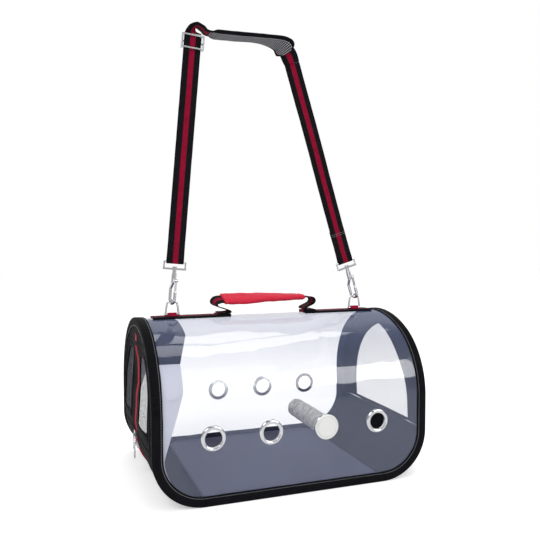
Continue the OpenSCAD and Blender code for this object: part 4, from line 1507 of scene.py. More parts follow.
@dataclass(kw_only=True)
class DoorEnd(EndPanel):
    """The near end: a frame and two mesh flaps that a zip joins in the middle."""

    side: Side = Side.LEFT
    rim: float = 0.020
    half: float = 0.118
    foot: float = 0.076
    top: float = 0.207
    border: float = 0.011
    mesh_y: float = 0.035
    mesh_z: float = 0.095
    gap: float = 0.0002
    play: float = 0.0004
    middle: float = 0.14
    flap_middle: float = 0.068
    # Where a flap's fold starts and ends, from its outer edge
    crease: float = 0.0005
    crease_end: float = 0.010
    trim_width: float = 0.006
    hem: float = 0.001
    # Section of the zip tape from its outer edge to the coil: across, and out from the cloth
    tape_edge: tuple[Point2, ...] = ((0.0056, -0.0002), (0.0056, 0.0006), (0.0050, 0.0009), (0.0034, 0.0009),
                                     (0.0031, 0.0006), (0.0028, 0.0009))
    teeth_pitch: float = 0.0016
    tooth: Size3 = (0.0012, 0.00055, 0.0008)
    joined_tooth: Size3 = (0.0019, 0.0006, 0.0007)
    tail_angle: float = 46
    tail_lift: float = 0.0012

    def opening(self, inset: float) -> list[Point2]:
        """Gives the door's outline, inset all round."""
        return window(self.outline.wall(self.rim + inset), inset - self.half, self.half - inset,
                      self.foot + inset, self.top - inset)

    def build(self) -> None:
        """Builds the frame, both flaps and the zip."""
        centre = (0.0, self.middle)
        frame = self.panel(self.outline.wall(self.inset), self.opening(0.0), centre, "end_frame_left",
                           self.finishes.oxford, rings=6)
        Piece(frame, Slot.BLACK_FABRIC, replaces="left_end_frame").settle()
        self.trim(self.opening(0.0), centre, self.trim_width, "door_trim_left")
        for wall in WALLS:
            self.flap(wall)
        self.tail()

    def flap(self, wall: Side) -> None:
        """Builds a flap with its mesh window and its half of the zip.

        Args:
            wall: The front flap or the back one.
        """
        name, back = wall.word, wall.sign
        body, trim = name + "_flap", "flap_trim_" + name
        outer = window(self.opening(self.play), *sorted((back * self.gap, back * self.half)), 0.0, 1.0)
        y0, y1 = sorted((back * (self.half - self.border), back * self.mesh_y))
        hole = window(self.outline.wall(self.rim + self.border), y0, y1, self.mesh_z, self.top - self.border)
        centre = (back * self.flap_middle, self.middle)
        cloth = self.panel(outer, hole, centre, "flap_cloth_" + name, self.finishes.oxford, rings=6)
        start, end = ((-self.outline.half_l, back * (self.half - inset), self.middle)
                      for inset in (self.crease, self.crease_end))
        Piece(cloth, Slot.BLACK_FABRIC, body, name + "_flap", (start, end)).stretched(
            self.half + self.hem, self.top - self.foot + self.hem, trim)
        mesh = self.panel(hole, [], centre, "flap_mesh_" + name, self.finishes.dense_mesh)
        Piece(mesh, Slot.BLACK_MESH, body, name + "_flap_mesh").stretched(
            y1 - y0 + self.hem, self.top - self.border - self.mesh_z + self.hem, trim)
        self.trim(hole, centre, self.trim_width, trim, body)
        self.tape(wall, body)

    def tape(self, wall: Side, body: str) -> None:
        """Builds a flap's zip tape with its coil of teeth.

        Args:
            wall: The front flap or the back one.
            body: The flap's body.
        """
        back, steps, short = wall.sign, 44, 0.0005
        low, high = self.foot + short, self.top - short
        profile = (*self.tape_edge, (0.0004, 0.0009), (0.0003, -0.0002))
        heights = [low + (high - low) * i / steps for i in range(steps + 1)]
        maker = MeshMaker().grid([[self.place(back * a, z, h) for a, h in profile] for z in heights],
                                 around=True, caps=True)
        axes = (vec(0, back, 0), vec(0, 0, 1), vec(-1, 0, 0))
        # The teeth of one flap stand in the gaps of the other's
        z = low + 0.0006 + (0.0 if wall is Side.FRONT else self.teeth_pitch / 2)
        while z < high:
            maker.block(self.place(back * 0.0009, z, 0.0008), axes, self.tooth)
            z += self.teeth_pitch
        Piece(maker.build("zip_half_" + wall.word, self.finishes.zip), Slot.RED_ZIP_TAPE, body,
              "zip_tape_" + wall.word).settle()

    def tail(self) -> None:
        """Builds the fixed zip that goes on round the lower corner."""
        o = self.outline
        upright, steps = 3, 30
        places = [(vec(-o.half_l, 0, self.foot - self.play - 0.0026 * i / upright),
                   vec(-1, 0, 0)) for i in range(upright + 1)]
        for i in range(1, steps + 1):
            angle = math.radians(self.tail_angle) * i / steps
            normal = vec(-math.cos(angle), 0, -math.sin(angle))
            places.append((vec(-o.corner_x, 0, o.corner_z) + normal * o.corner, normal))
        maker = MeshMaker()
        side = vec(0, 1, 0)
        profile = (*((-a, h) for a, h in self.tape_edge), (0.0, 0.0010), *reversed(self.tape_edge))
        maker.grid([[at + side * a + normal * (h + self.tail_lift) for a, h in profile]
                    for at, normal in places], around=True, caps=True)
        for (a, normal), (b, _) in zip(places[:-1], places[1:]):
            way = (b - a) / np.linalg.norm(b - a)
            at = (a + b) / 2 + normal * (self.tail_lift + 0.0009)
            maker.block(at, (side, way, normal), self.joined_tooth)
        tape = maker.build("zip_tail_tape", self.finishes.zip)
        Piece(tape, Slot.RED_ZIP_TAPE, replaces="zip_tail").settle()


@dataclass(frozen=True)
class Station:
    """A place on a strip of webbing: its middle, the way across and the way through it."""

    at: Vec
    across: Vec
    through: Vec
    half: float


def way_along(curve: Sequence[Vec], i: int) -> Vec:
    """Gives the direction of a curve at its point i, as a unit vector."""
    step = curve[min(i + 1, len(curve) - 1)] - curve[max(i - 1, 0)]
    return step / np.linalg.norm(step)


@dataclass(kw_only=True)
class Webbing:
    """Sweeps striped webbing, and sews it."""

    finishes: Finishes
    thick: float = 0.0015
    columns: tuple[float, ...] = (-1.0, -0.97, -0.7, -0.38, -0.34, 0.0, 0.34, 0.38, 0.7, 0.97, 1.0)
    # Share of the thickness at the edges, and the share that the stripe's borders are thinner by
    edge: float = 0.45
    dent: float = 0.12
    stitch: Size3 = (0.0011, 0.00024, 0.0003)
    stitch_pitch: float = 0.0031

    def strip(self, stations: Sequence[Station], thick: float | None = None) -> MeshMaker:
        """Sweeps a strip along its stations.

        Args:
            stations: The strip's stations.
            thick: Its thickness, where it isn't the usual one.

        Returns:
            The strip's mesh, its UV across and along in metres.
        """
        thick = thick or self.thick
        columns = self.columns + self.columns[::-1]
        rows, lengths, run = [], [], 0.0
        for i, s in enumerate(stations):
            if i:
                run += float(np.linalg.norm(s.at - stations[i - 1].at))
            lengths.append(run)
            row = []
            for k, c in enumerate(columns):
                top = 1.0 if k < len(self.columns) else -1.0
                edge = self.edge if abs(c) == 1.0 else 1.0
                swell = 1 - self.dent * smoothstep((0.03 - abs(abs(c) - 0.36)) / 0.03)
                row.append(s.at + s.across * c * s.half + s.through * top * edge * swell * thick / 2)
            rows.append(row)
        return MeshMaker().grid(rows, around=True, uv=lambda i, j: (columns[j], lengths[i]), caps=True)

    def box_stitch(self, at: Vec, along: Vec, across: Vec, half: Point2, name: str,
                   body: str = "root", bend: Callable[[Vec], Vec] | None = None) -> None:
        """Sews a crossed box through the webbing.

        Args:
            at: Its middle, on the surface.
            along: The way along the webbing.
            across: The way across it.
            half: Half sizes along and across.
            name: The object's name.
            body: The body it rides on.
            bend: Moves a point onto a curved surface.
        """
        a, b = along * half[0], across * half[1]
        corners = [at + a + b, at - a + b, at - a - b, at + a - b]
        lines = [(corners[i], corners[(i + 1) % 4]) for i in range(4)]
        lines += [(corners[0], corners[2]), (corners[1], corners[3])]
        self.sew_lines(lines, np.cross(along, across), name, self.finishes.thread_dark, body, bend)

    def sew_lines(self, lines: Sequence[tuple[Vec, Vec]], normal: Vec, name: str,
                  material: Material, body: str = "root",
                  bend: Callable[[Vec], Vec] | None = None) -> None:
        """Sews straight rows of stitches.

        Args:
            lines: Both ends of each row.
            normal: The way out of the surface.
            name: The object's name.
            material: The thread's material.
            body: The body they ride on.
            bend: Moves a point onto a curved surface.
        """
        maker = MeshMaker()
        for p, q in lines:
            length = float(np.linalg.norm(q - p))
            way = (q - p) / length
            count = max(int(length / self.stitch_pitch), 1)
            for i in range(count):
                spot = p + way * (i + 0.5) * length / count
                maker.block(bend(spot) if bend else spot, (way, np.cross(normal, way), normal), self.stitch)
        Piece(maker.build(name, material, smooth=False), Slot.STRIPED_WEBBING, body).settle()


@dataclass(kw_only=True)
class Ridge(Webbing):
    """The webbing along the bag's ridge, the handle's feet and the rings' tabs."""

    outline: Outline
    half: float = 0.015
    doubled: float = 0.003
    step: float = 0.004
    foot_box: Point2 = (0.0075, 0.012)
    end_box: Point2 = (0.009, 0.012)
    end_inset: float = 0.012
    wire: float = 0.0016
    tab_thick: float = 0.0011
    tab_turn: float = 0.0026
    # Half a tab's section below the ring: across, and above its foot
    tab_foot: tuple[Point2, ...] = ((0.0075, 0.0), (0.0045, 0.0002), (0.0032, 0.0012))

    def over(self, y: float, rise: float) -> float:
        """Gives the height of the crown at a place across, some rise above the sheet."""
        return self.outline.crown_z + math.sqrt((self.outline.crown + rise) ** 2 - y ** 2)

    def laid(self, x0: float, x1: float, rise: float, thick: float) -> MeshMaker:
        """Lays a strip over the crown, along the bag.

        Args:
            x0, x1: Its ends.
            rise: Height of its lower face above the sheet.
            thick: Its thickness.

        Returns:
            The strip's mesh.
        """
        columns = self.columns + self.columns[::-1]
        steps = max(int(abs(x1 - x0) / self.step), 2)
        places = [x0 + (x1 - x0) * i / steps for i in range(steps + 1)]
        rows = []
        for x in places:
            row = []
            for k, c in enumerate(columns):
                upper, y = k < len(self.columns), c * self.half
                edge = 0.25 * thick if abs(c) == 1.0 else 0.0
                lift = thick - edge if upper else edge
                puff = 0.00018 * ripple(x, y, rise, 0.011) if upper and abs(c) < 1 else 0.0
                row.append(vec(x, y, self.over(y, rise + lift + puff)))
            rows.append(row)
        return MeshMaker().grid(rows, around=True, uv=lambda i, j: (columns[j], places[i]), caps=True)

    def build(self) -> None:
        """Builds both stretches, with the feet, the tabs and their stitching."""
        top = self.doubled + self.thick
        for end in ENDS:
            name = end.word
            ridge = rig.box("ridge_webbing_" + name)
            band = self.laid(ridge[0].x, ridge[1].x, 0.0, self.doubled)
            Piece(band.build("ridge_band_" + name, self.finishes.webbing), Slot.STRIPED_WEBBING,
                  replaces="ridge_webbing_" + name).settle()
            low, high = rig.box("handle_foot_" + name)
            foot = self.laid(low.x, high.x, self.doubled, self.thick)
            Piece(foot.build("foot_patch_" + name, self.finishes.webbing), Slot.STRIPED_WEBBING,
                  replaces="handle_foot_" + name).settle()
            self.sew((low.x + high.x) / 2, self.foot_box, top, "foot_stitch_" + name)
            self.tab(name)
            outer = ridge[0].x + self.end_inset if end is Side.LEFT else ridge[1].x - self.end_inset
            self.sew(outer, self.end_box, self.doubled, "ridge_stitch_" + name)

    def sew(self, x: float, half: Point2, rise: float, name: str) -> None:
        """Sews a crossed box on the ridge, its middle at x and some rise above the sheet."""
        self.box_stitch(vec(x, 0, 0), vec(1, 0, 0), vec(0, 1, 0), half, name,
                        bend=lambda p: vec(p[0], p[1], self.over(p[1], rise)))

    def tab(self, name: str) -> None:
        """Folds a tab of crimson webbing round the ring's bar and down to the ridge.

        Args:
            name: The end's word.
        """
        low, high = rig.box("ring_tab_" + name)
        x, half = (low.x + high.x) / 2, (high.x - low.x) / 2
        bar, foot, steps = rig.box("d_ring_" + name)[0].z + self.wire, low.z + 0.0006, 12
        path = [(-y, foot + rise) for y, rise in self.tab_foot]
        turns = [math.pi * k / steps for k in range(steps + 1)]
        path += [(-self.tab_turn * math.cos(turn), bar + self.tab_turn * math.sin(turn)) for turn in turns]
        path += [(y, foot + rise) for y, rise in reversed(self.tab_foot)]
        curve = smooth_path(path, 2)
        stations = []
        for i, p in enumerate(curve):
            step = way_along(curve, i)
            stations.append(Station(vec(x, p[0], p[1]), vec(1, 0, 0),
                                    vec(0, -step[1], step[0]), half - 0.0003 * math.cos(i * 0.9)))
        tab = self.strip(stations, self.tab_thick).build("tab_loop_" + name, self.finishes.tab)
        Piece(tab, Slot.STRIPED_WEBBING, replaces="ring_tab_" + name).settle()


@dataclass(kw_only=True)
class Handle(Webbing):
    """The carry handle: webbing that springs from its two feet, and a padded sleeve over its grip."""

    # How much of the full bow the webbing has over its left foot and its right one, and the sleeve's slide
    slacks: Point2 = (0.88, 0.64)
    shift: float = -0.006
    half: float = 0.0148
    wide: float = 0.0182
    tall: float = 0.0045
    rings: int = 72
    ring_steps: int = 40
    grip: float = field(init=False)
    foot: Vector = field(init=False)
    sleeve_half: float = field(init=False)

    def __post_init__(self) -> None:
        """Takes the handle's places from the frame."""
        low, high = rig.box("handle_sleeve")
        self.grip = (low.z + high.z) / 2
        self.sleeve_half = (high.x - low.x) / 2 - abs(self.shift)
        self.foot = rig.box("handle_foot_left")[1]

    def tilt(self, x: float) -> float:
        """Gives the grip's turn about its length, in radians: the left part leans to the front."""
        return math.radians(17) * smoothstep((0.062 - x) / 0.11) + math.radians(2) * ripple(x, 0, 0, 0.05)

    def path(self) -> list[Vec]:
        """Gives the webbing's line in X and Z, from the left foot patch over the grip to the right one.

        Returns:
            Points along the line.
        """
        x, z = self.foot.x, self.foot.z
        ends = []
        for slack in self.slacks:
            end = [(x - 0.0180, z + 0.0008), (x - 0.006, z + 0.0009), (x - 0.0012, z + 0.0014),
                   (x + 0.0004, z + 0.0028)]
            end += [(x - out * slack, rise) for out, rise in (
                (0.0030, z + 0.0052), (0.0130, z + 0.0080), (0.0235, z + 0.0115), (0.0268, z + 0.0165),
                (0.0215, z + 0.0208), (0.0130, self.grip - 0.0002), (0.0040, self.grip))]
            ends.append(end)
        left = ends[0]
        right = [(-p[0], p[1]) for p in reversed(ends[1])]
        middle = [(-0.03, self.grip + 0.0003), (0.0, self.grip + 0.0005), (0.03, self.grip + 0.0003)]
        return smooth_path(left + middle + right, 5)

    def build(self) -> None:
        """Builds the webbing and the sleeve."""
        curve = self.path()
        stations = []
        for i, p in enumerate(curve):
            step = way_along(curve, i)
            angle = self.tilt(p[0]) * smoothstep((p[1] - self.foot.z - 0.010) / 0.010)
            across = vec(0, 1, 0)
            through = vec(-step[1], 0, step[0])
            across, through = (across * math.cos(angle) + through * math.sin(angle),
                               through * math.cos(angle) - across * math.sin(angle))
            stations.append(Station(vec(p[0], 0, p[1]), across, through, self.half))
        webbing = self.strip(stations).build("handle_band", self.finishes.webbing)
        fold = ((0.0, 0.0, self.foot.z + 0.0018), (0.0, 0.0, self.foot.z + 0.010))
        Piece(webbing, Slot.STRIPED_WEBBING, "handle", "handle_webbing", fold).settle()
        self.sleeve()

    def sleeve(self) -> None:
        """Builds the padded sleeve: a soft tube, flat and puffed, with hemmed ends and a lengthwise seam."""
        rows = []
        for i in range(self.rings + 1):
            part = 2 * i / self.rings - 1
            x = self.shift + part * self.sleeve_half
            hem = smoothstep((1 - abs(part)) / 0.025)
            neck = smoothstep((abs(part) - 0.90) / 0.03) * smoothstep((0.975 - abs(part)) / 0.03)
            angle = self.tilt(x)
            ring = []
            for k in range(self.ring_steps):
                turn = 2 * math.pi * k / self.ring_steps
                ca, sa = math.cos(turn), math.sin(turn)
                wide = self.wide * (abs(ca) ** 0.55) * (1 if ca > 0 else -1)
                tall = self.tall * (abs(sa) ** 0.75) * (1 if sa > 0 else -1)
                crown = 1 + 0.10 * math.cos(math.pi * x / (2 * self.sleeve_half)) - 0.22 * neck
                wrinkle = 0.00055 * ripple(x, wide, tall * 3, 0.014)
                wrinkle += 0.0003 * ripple(x, wide, 1 + tall, 0.006)
                wide = wide * (0.93 + 0.05 * hem) + (wrinkle if ca > 0 else -wrinkle)
                if ca < 0:
                    full = math.exp(-((x + 0.036) / 0.02) ** 2) - 1.3 * math.exp(-((x - 0.003) / 0.011) ** 2)
                    wide *= 1 + 0.1 * hem * full + 0.05 * ripple(x, 0.0, 8.0, 0.014)
                tall = tall * crown * (0.62 + 0.38 * hem) + (wrinkle if sa > 0 else -wrinkle) * hem
                dip = 0.0006 * smoothstep((0.0015 - abs(wide - 0.0145)) / 0.0015)
                tall -= dip if sa > 0 else -dip
                ring.append(vec(x, wide * math.cos(angle) - tall * math.sin(angle),
                                self.grip + 0.0005 * (1 - part * part) + wide * math.sin(angle)
                                + tall * math.cos(angle)))
            rows.append(ring)
        sleeve = MeshMaker().grid(rows, around=True, caps=True).build("grip_sleeve", self.finishes.sleeve)
        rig.padded(Piece(sleeve, Slot.RED_PADDING, "handle", "handle_sleeve").settle(), fill=0.7)


@dataclass(kw_only=True)
class Leg(Webbing):
    """One upright leg of the shoulder strap: two layers of webbing from the hook's eye up."""

    side: Side
    lean: float
    half: float = 0.0134
    # Height of the eye's bar above the ring, and the length over which the webbing closes above it
    bar: float = 0.0593
    rise: float = 0.016
    gap: float = 0.0009
    turn: float = 0.00235
    wire: float = 0.0016
    # The right leg's back layer ends this far above the bar, and the left one's at the top
    right_end: float = 0.055
    box: Point2 = (0.009, 0.012)
    foot: Vec = field(init=False)
    length: float = field(init=False)
    back: float = field(init=False)

    def __post_init__(self) -> None:
        """Takes the leg's foot and its lengths from the frame."""
        low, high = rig.box("d_ring_" + self.side.word)
        foot = Vector(((low.x + high.x) / 2, 0.0, high.z - self.wire))
        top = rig.box("strap_" + self.side.word)[1].z - 0.015 * math.sin(math.radians(abs(self.lean)))
        self.foot = np.array(foot)
        self.length = (top - foot.z) / math.cos(math.radians(self.lean))
        self.back = self.length if self.side is Side.LEFT else self.bar + self.right_end

    @property
    def top(self) -> Point2:
        """The leg's upper end in X and Z."""
        end = self.lift(0, 0, self.length)
        return end[0], end[2]

    def lift(self, x: float, y: float, z: float) -> Vec:
        """Takes a place from the leg's own frame to the bag's."""
        c, s = math.cos(math.radians(self.lean)), math.sin(math.radians(self.lean))
        return self.foot + vec(x * c + z * s, y, -x * s + z * c)

    def line(self) -> list[Point2]:
        """Gives the webbing's line in the leg's own frame.

        Returns:
            Points in Y and Z: down the back, round the bar and up the front.
        """
        closed = self.bar + self.rise
        down, round_bar, front = 40, 14, 60
        angles = [math.pi * k / round_bar for k in range(round_bar + 1)]
        return ([(self.gap, self.back - (self.back - closed) * i / down) for i in range(down + 1)]
                + [(self.turn * math.cos(angle), self.bar - self.turn * math.sin(angle)) for angle in angles]
                + [(-self.gap, closed + (self.length - closed) * i / front) for i in range(front + 1)])

    def build(self) -> None:
        """Builds the leg with the sewn box over its eye."""
        line = [np.array(place) for place in self.line()]
        name, origin = self.side.word, self.lift(0, 0, 0)
        across, up = self.lift(1, 0, 0) - origin, self.lift(0, 0, 1) - origin
        stations = []
        for i, (y, z) in enumerate(line):
            step = way_along(line, i)
            through = self.lift(0, -step[1], step[0]) - origin
            free = smoothstep((z - self.bar - 0.02) / 0.05) * smoothstep((self.length - 0.03 - z) / 0.05)
            loose = 0.25 if self.side is Side.LEFT else 1.0
            sway = loose * (0.0009 * math.sin(z / 0.047 + len(name)) + 0.0006 * ripple(z, 0.0, 5.0, 0.03))
            stations.append(Station(self.lift(0, y + sway * free, z), across, through,
                                    self.half + 0.0002 * ripple(z, y, 0, 0.02)))
        strip = self.strip(stations).build("strap_band_" + name, self.finishes.webbing)
        Piece(strip, Slot.STRIPED_WEBBING, "strap", "strap_" + name).settle()
        face = -0.0017
        spot = self.lift(0, face, self.bar + self.rise + self.box[1])
        self.box_stitch(spot, up, across, self.box, "strap_stitch_" + name, body="strap")
        if self.side is Side.RIGHT:
            spots = [self.lift(0, face, self.back - rise) for rise in (0.006, 0.009)]
            rows = [(spot - across * self.box[1], spot + across * self.box[1]) for spot in spots]
            self.sew_lines(rows, np.cross(up, across), "strap_end_stitch", self.finishes.thread, "strap")


@dataclass(kw_only=True)
class ShoulderRun(Webbing):
    """The strap's run over the shoulder, with its padded sleeve."""

    left: Point2
    right: Point2
    half: float = 0.0134
    path_steps: int = 8
    # Steps of the path between which the pad lies
    pad_start: int = 32
    pad_stop: int = 72
    pad_half: float = 0.021
    pad_steps: int = 120
    ring_steps: int = 44
    rounding: float = 0.012

    def path(self) -> list[Vec]:
        """Gives the run's line.

        Returns:
            Points of X, Z and the webbing's turn in degrees, from facing front to lying flat.
        """
        (lx, lz), (rx, rz) = self.left, self.right
        middle = (lx + rx) / 2
        points = [(lx, lz + 0.0009, 0), (lx + 0.0008, lz + 0.008, 50), (lx + 0.006, lz + 0.014, 88),
                  (lx + 0.015, lz + 0.010, 90), (lx + 0.025, lz + 0.004, 90),
                  (middle - 0.015, lz + 0.004, 90), (middle + 0.025, lz + 0.005, 90),
                  (rx - 0.027, rz + 0.032, 78), (rx - 0.015, rz + 0.026, 60), (rx - 0.007, rz + 0.016, 38),
                  (rx - 0.002, rz + 0.006, 12), (rx, rz + 0.0003, 0)]
        return smooth_path(points, self.path_steps)

    def stations(self, curve: Sequence[Vec], half: float) -> list[Station]:
        """Turns path points into stations.

        Args:
            curve: The path's points.
            half: Half width of what is swept.

        Returns:
            A station for each point.
        """
        out = []
        line = [p[:2] for p in curve]
        for i, p in enumerate(curve):
            step = way_along(line, i)
            angle = math.radians(p[2])
            across = vec(math.cos(angle) * step[1], math.sin(angle), -math.cos(angle) * step[0])
            through = vec(-math.sin(angle) * step[1], math.cos(angle), math.sin(angle) * step[0])
            out.append(Station(vec(p[0], 0, p[1]), across, through, half))
        return out

    def build(self) -> None:
        """Builds the webbing and the pad."""
        curve = self.path()
        strip = self.strip(self.stations(curve, self.half)).build("strap_band_top", self.finishes.webbing)
        Piece(strip, Slot.STRIPED_WEBBING, "strap", "strap_top").settle()
        self.pad(curve[self.pad_start:self.pad_stop + 1])

    def even(self, part: Sequence[Vec]) -> tuple[list[Vec], float]:
        """Spreads the pad's points evenly along its part of the path.

        Args:
            part: The part of the path.

        Returns:
            The points and the part's length.
        """
        run = [0.0]
        for a, b in zip(part[:-1], part[1:]):
            run.append(run[-1] + float(np.hypot(b[0] - a[0], b[1] - a[1])))
        dense = []
        for k in range(self.pad_steps + 1):
            place = run[-1] * k / self.pad_steps
            i = max(j for j in range(len(run)) if run[j] <= place + 1e-9)
            i = min(i, len(part) - 2)
            mix = (place - run[i]) / (run[i + 1] - run[i])
            dense.append(part[i] * (1 - mix) + part[i + 1] * mix)
        return dense, run[-1]

    def pad(self, part: Sequence[Vec]) -> None:
        """Builds the pad: puffed faces, taped edges and rounded ends.

        Args:
            part: Its part of the path.
        """
        dense, total = self.even(part)
        turns = [2 * math.pi * k / self.ring_steps for k in range(self.ring_steps)]
        profile = [((abs(math.cos(turn)) ** 0.6) * math.copysign(1, math.cos(turn)),
                    (abs(math.sin(turn)) ** 0.8) * math.copysign(1, math.sin(turn))) for turn in turns]
        rows = []
        for k, s in enumerate(self.stations(dense, self.pad_half)):
            place = total * k / self.pad_steps
            end = min(place, total - place) / self.rounding
            narrow = math.sqrt(max(1 - (1 - min(end, 1.0)) ** 2, 0.03))
            thick = smoothstep(end) * 0.75 + 0.25
            row = []
            for wide, tall in profile:
                tape = smoothstep((abs(wide) - 0.78) / 0.03)
                seam = 1 - 0.45 * math.exp(-((abs(wide) - 0.76) / 0.035) ** 2)
                puff = (0.0040 + 0.0006 * math.cos(wide * 1.6)) * seam * (1 - 0.25 * tape)
                wrinkle = 0.0004 * ripple(place, wide * 0.02, tall, 0.013) * (1 - tape)
                row.append(s.at + s.across * wide * s.half * narrow
                           + s.through * tall * (puff * thick + wrinkle))
            rows.append(row)
        pad = MeshMaker().grid(rows, around=True, caps=True,
                               uv=lambda i, j: (profile[j][0], total * i / self.pad_steps))
        cushion = pad.build("shoulder_cushion", self.finishes.airmesh)
        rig.padded(Piece(cushion, Slot.BLACK_PADDING, "strap", "shoulder_pad").settle(), fill=0.7)


@dataclass(kw_only=True)
class Perch:
    """The grit-covered stick and its bare cap outside."""

    finishes: Finishes
    rounding: float = 0.0065
    coat: float = 0.0006
    ring_steps: int = 72
    end_steps: int = 7
    cap_steps: int = 96
    cap_thick: float = 0.003
    # From the face's middle over its rim: share of the radius, and depth behind the front
    cap_face: tuple[Point2, ...] = (
        (0.03, 0.0001), (0.35, 0.00012), (0.7, 0.0002), (0.775, 0.0003), (0.785, 0.0010), (0.82, 0.0011),
        (0.835, 0.0004), (0.87, 0.0001), (0.92, 0.0002), (0.97, 0.0009), (1.0, 0.002), (0.985, 0.0027))

    def build(self) -> None:
        """Builds the stick and the cap."""
        self.stick()
        self.cap()

    def stick(self) -> None:
        """Builds the stick with a rough, slightly uneven coat."""
        low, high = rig.box("perch")
        x, z = (low.x + high.x) / 2, (low.z + high.z) / 2
        radius, length, rings = (high.x - low.x) / 2, high.y - low.y, 46
        turns = [math.pi / 2 * k / self.end_steps for k in range(1, self.end_steps + 1)]
        profile = [(0.0, 0.45), (0.0, 0.9), (0.0012, 0.98)]
        profile += [(length * k / rings, 1.0) for k in range(2, rings - 2)]
        profile += [(length - self.rounding * (1 - math.sin(turn)), 0.6 + 0.4 * math.cos(turn))
                    for turn in turns]
        rows = []
        for along, size in [*profile, (length, 0.3)]:
            ring = []
            for k in range(self.ring_steps):
                angle = 2 * math.pi * k / self.ring_steps
                ca, sa = math.cos(angle), math.sin(angle)
                rough = 0.0005 * ripple(ca * 0.015, along, sa * 0.015, 0.011)
                rough += 0.00035 * ripple(ca * 0.015, along, sa * 0.015, 0.004)
                reach = (radius - self.coat) * size + rough * (size > 0.5)
                ring.append(vec(x + reach * ca, low.y + along, z + reach * sa))
            rows.append(ring)
        stick = MeshMaker().grid(rows, around=True, caps=True).build("perch_stick", self.finishes.stone)
        Piece(stick, Slot.PERCH_STICK, replaces="perch").settle()

    def cap(self) -> None:
        """Builds the moulded disc: a softly domed bare face, a groove inside its round rim, and a boss."""
        low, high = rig.box("perch_cap")
        x, z, radius = (low.x + high.x) / 2, (low.z + high.z) / 2, (high.x - low.x) / 2
        back, boss = low.y + self.cap_thick, high.y
        profile = [(size, low.y + depth) for size, depth in self.cap_face]
        profile += [(0.94, back), (0.7, back), (0.655, back), (0.655, boss - 0.0005), (0.62, boss),
                    (0.2, boss)]
        angles = [2 * math.pi * k / self.cap_steps for k in range(self.cap_steps)]
        rows = [[vec(x + size * radius * math.cos(angle), y, z + size * radius * math.sin(angle))
                 for angle in angles] for size, y in profile]
        disc = MeshMaker().grid(rows, around=True, caps=True).build("cap_disc", self.finishes.cap)
        Piece(disc, Slot.WHITE_CAP, replaces="perch_cap").settle()


@dataclass(kw_only=True)
class Fittings:
    """Parts that keep their CAD shapes: the plated ones, and the zip's top stop."""

    finishes: Finishes
    nodes: dict[str, Object]
    single: tuple[str, ...] = ("front_eyelets", "front_eyelet_washers", "back_eyelets", "back_eyelet_washers",
                               "perch_bolt", "perch_washer")
    paired: tuple[str, ...] = ("d_ring", "hook_body", "hook_eye", "hook_gate", "gate_pin")
    sliding: tuple[str, ...] = ("strap_slider", "zip_slider_upper", "zip_slider_lower", "zip_pull_upper",
                                "zip_pull_lower")

    def build(self) -> None:
        """Dresses the plated parts and the zip's top stop."""
        sides = tuple(name + "_" + end.word for name in self.paired for end in ENDS)
        for name in self.single + sides + self.sliding:
            self.dress(self.nodes[name], self.finishes.nickel)
        self.dress(self.nodes["zip_top_stop"], self.finishes.zip)

    @staticmethod
    def dress(obj: Object, material: Material) -> None:
        """Gives a CAD node its finish.

        Args:
            obj: The node.
            material: Its finish.
        """
        if not obj.material_slots:
            obj.data.materials.append(material)
        for slot in obj.material_slots:
            slot.material = material
        LOG.info("%s: CAD shape, %s", obj.name, material.name)


@dataclass(frozen=True)
class Lamp:
    """A rectangular area light: place, width and height in metres, power in watts."""

    name: str
    at: tuple[float, float, float]
    width: float
    height: float
    power: float
    diffuse: bool = True


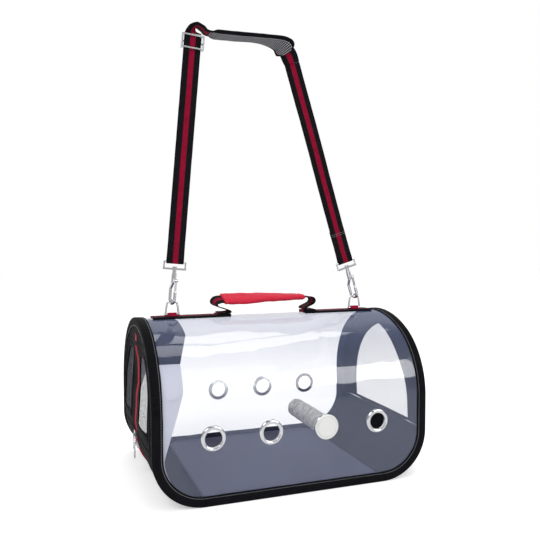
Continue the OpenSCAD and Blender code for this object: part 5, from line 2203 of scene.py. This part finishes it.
@dataclass(kw_only=True)
class Studio:
    """Camera, lights and floor."""

    eye: tuple[float, float, float] = (-0.35692, -0.98783, 0.36711)
    yaw: float = 20.202
    pitch: float = 2.706
    lens: float = 43.1
    sensor: float = 36.0
    surround: float = 0.62
    floor_grey: float = 0.88
    floor_lift: float = 0.44
    floor_half: float = 6.0
    aim: tuple[float, float, float] = (0.0, 0.0, 0.2)
    # The card draws the bright band on the sheet's right, and only gloss sees it
    lamps: tuple[Lamp, ...] = (
        Lamp("key", (-1.3, -1.5, 1.9), 1.0, 1.0, 20), Lamp("fill", (1.8, -1.2, 1.3), 0.9, 0.9, 8),
        Lamp("top", (0.2, 0.3, 2.2), 1.4, 1.4, 16),
        Lamp("card", (0.9, -1.65, 1.05), 0.8, 0.85, 15, diffuse=False))

    def build(self) -> None:
        """Sets the whole stage."""
        self.camera()
        self.lights()
        self.floor()
        bpy.context.scene.view_settings.view_transform = "Standard"

    def camera(self) -> None:
        """Puts the camera where the photograph was taken."""
        data = bpy.data.cameras.new("camera")
        data.lens = self.lens
        data.sensor_width = self.sensor
        obj = bpy.data.objects.new("camera", data)
        obj.location = self.eye
        obj.rotation_euler = (math.radians(90 - self.pitch), 0.0, math.radians(-self.yaw))
        bpy.context.scene.collection.objects.link(obj)
        bpy.context.scene.camera = obj

    def lights(self) -> None:
        """Hangs large soft lights round a white surround, which gloss sees dimmed overhead and in front."""
        world = bpy.data.worlds.new("surround")
        world.use_nodes = True
        tree = world.node_tree
        background = tree.nodes["Background"]
        background.inputs["Color"].default_value = (1.0, 1.0, 1.0, 1.0)
        place = add_node(tree, "TexCoord").outputs["Generated"]
        split = add_node(tree, "SeparateXYZ", links={0: place})
        above = add_node(tree, "MapRange", {1: 0.72, 2: 0.86, 3: 1.02, 4: 0.35}, {0: split.outputs[2]})
        front = add_node(tree, "MapRange", {1: 0.12, 2: 0.42, 3: 0.5, 4: 1.0}, {0: split.outputs[1]})
        both = add_node(tree, "Math", links={0: above, 1: front}, operation="MULTIPLY")
        rays = add_node(tree, "LightPath")
        gloss = add_node(tree, "Mix", {2: self.surround},
                         {0: rays.outputs["Is Glossy Ray"], 3: both}, data_type="FLOAT")
        shown = add_node(tree, "Math", links={0: rays.outputs["Is Camera Ray"],
                                              1: rays.outputs["Is Transmission Ray"]},
                         operation="MAXIMUM")
        final = add_node(tree, "Mix", {3: 1.0}, {0: shown, 2: gloss}, data_type="FLOAT")
        tree.links.new(final.outputs[0], background.inputs["Strength"])
        bpy.context.scene.world = world
        for lamp in self.lamps:
            data = bpy.data.lights.new(lamp.name, "AREA")
            data.shape = "RECTANGLE"
            data.size = lamp.width
            data.size_y = lamp.height
            data.energy = lamp.power
            obj = bpy.data.objects.new(lamp.name, data)
            obj.location = lamp.at
            way = Vector(self.aim) - Vector(lamp.at)
            obj.rotation_euler = way.to_track_quat("-Z", "Y").to_euler()
            obj.visible_diffuse = lamp.diffuse
            bpy.context.scene.collection.objects.link(obj)

    def floor(self) -> None:
        """Lays a white floor that keeps the bag's shadow and meets the backdrop without a line."""
        material = bpy.data.materials.new("paper_white")
        material.use_nodes = True
        tree = material.node_tree
        principled = tree.nodes["Principled BSDF"]
        principled.inputs["Base Color"].default_value = (*[self.floor_grey] * 3, 1.0)
        principled.inputs["Roughness"].default_value = 0.9
        principled.inputs["Emission Color"].default_value = (1.0, 1.0, 1.0, 1.0)
        rays = add_node(tree, "LightPath")
        glow = add_node(tree, "Math", {1: self.floor_lift}, {0: rays.outputs["Is Camera Ray"]},
                        operation="MULTIPLY")
        tree.links.new(glow.outputs[0], principled.inputs["Emission Strength"])
        lines = (-self.floor_half, 0.0, self.floor_half)
        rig.stage(MeshMaker().grid([[vec(x, y, 0) for x in lines] for y in lines]).build("floor", material))


def main() -> None:
    """Builds the whole scene."""
    logging.basicConfig(level=logging.INFO, format="%(name)s: %(message)s")
    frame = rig.load()
    cad = [list(corner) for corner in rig.bounds()]
    outline = Outline()
    finishes = Finishes()
    Studio().build()
    for part in (Base, ClearTunnel, DoorEnd, MeshEnd, Binding, Ridge):
        part(outline=outline, finishes=finishes).build()
    Handle(finishes=finishes).build()
    legs = [Leg(finishes=finishes, side=side, lean=lean)
            for side, lean in ((Side.LEFT, 5.0), (Side.RIGHT, -17.0))]
    for leg in legs:
        leg.build()
    ShoulderRun(finishes=finishes, left=legs[0].top, right=legs[1].top).build()
    Perch(finishes=finishes).build()
    Fittings(finishes=finishes, nodes=frame["nodes"]).build()
    final = [list(corner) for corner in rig.bounds()]
    with open("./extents.json", "w", encoding="utf-8") as out:
        json.dump({"cad": cad, "final": final}, out, indent=1)
    LOG.info("bounds %s", final)


if __name__ == "__main__":
    main()
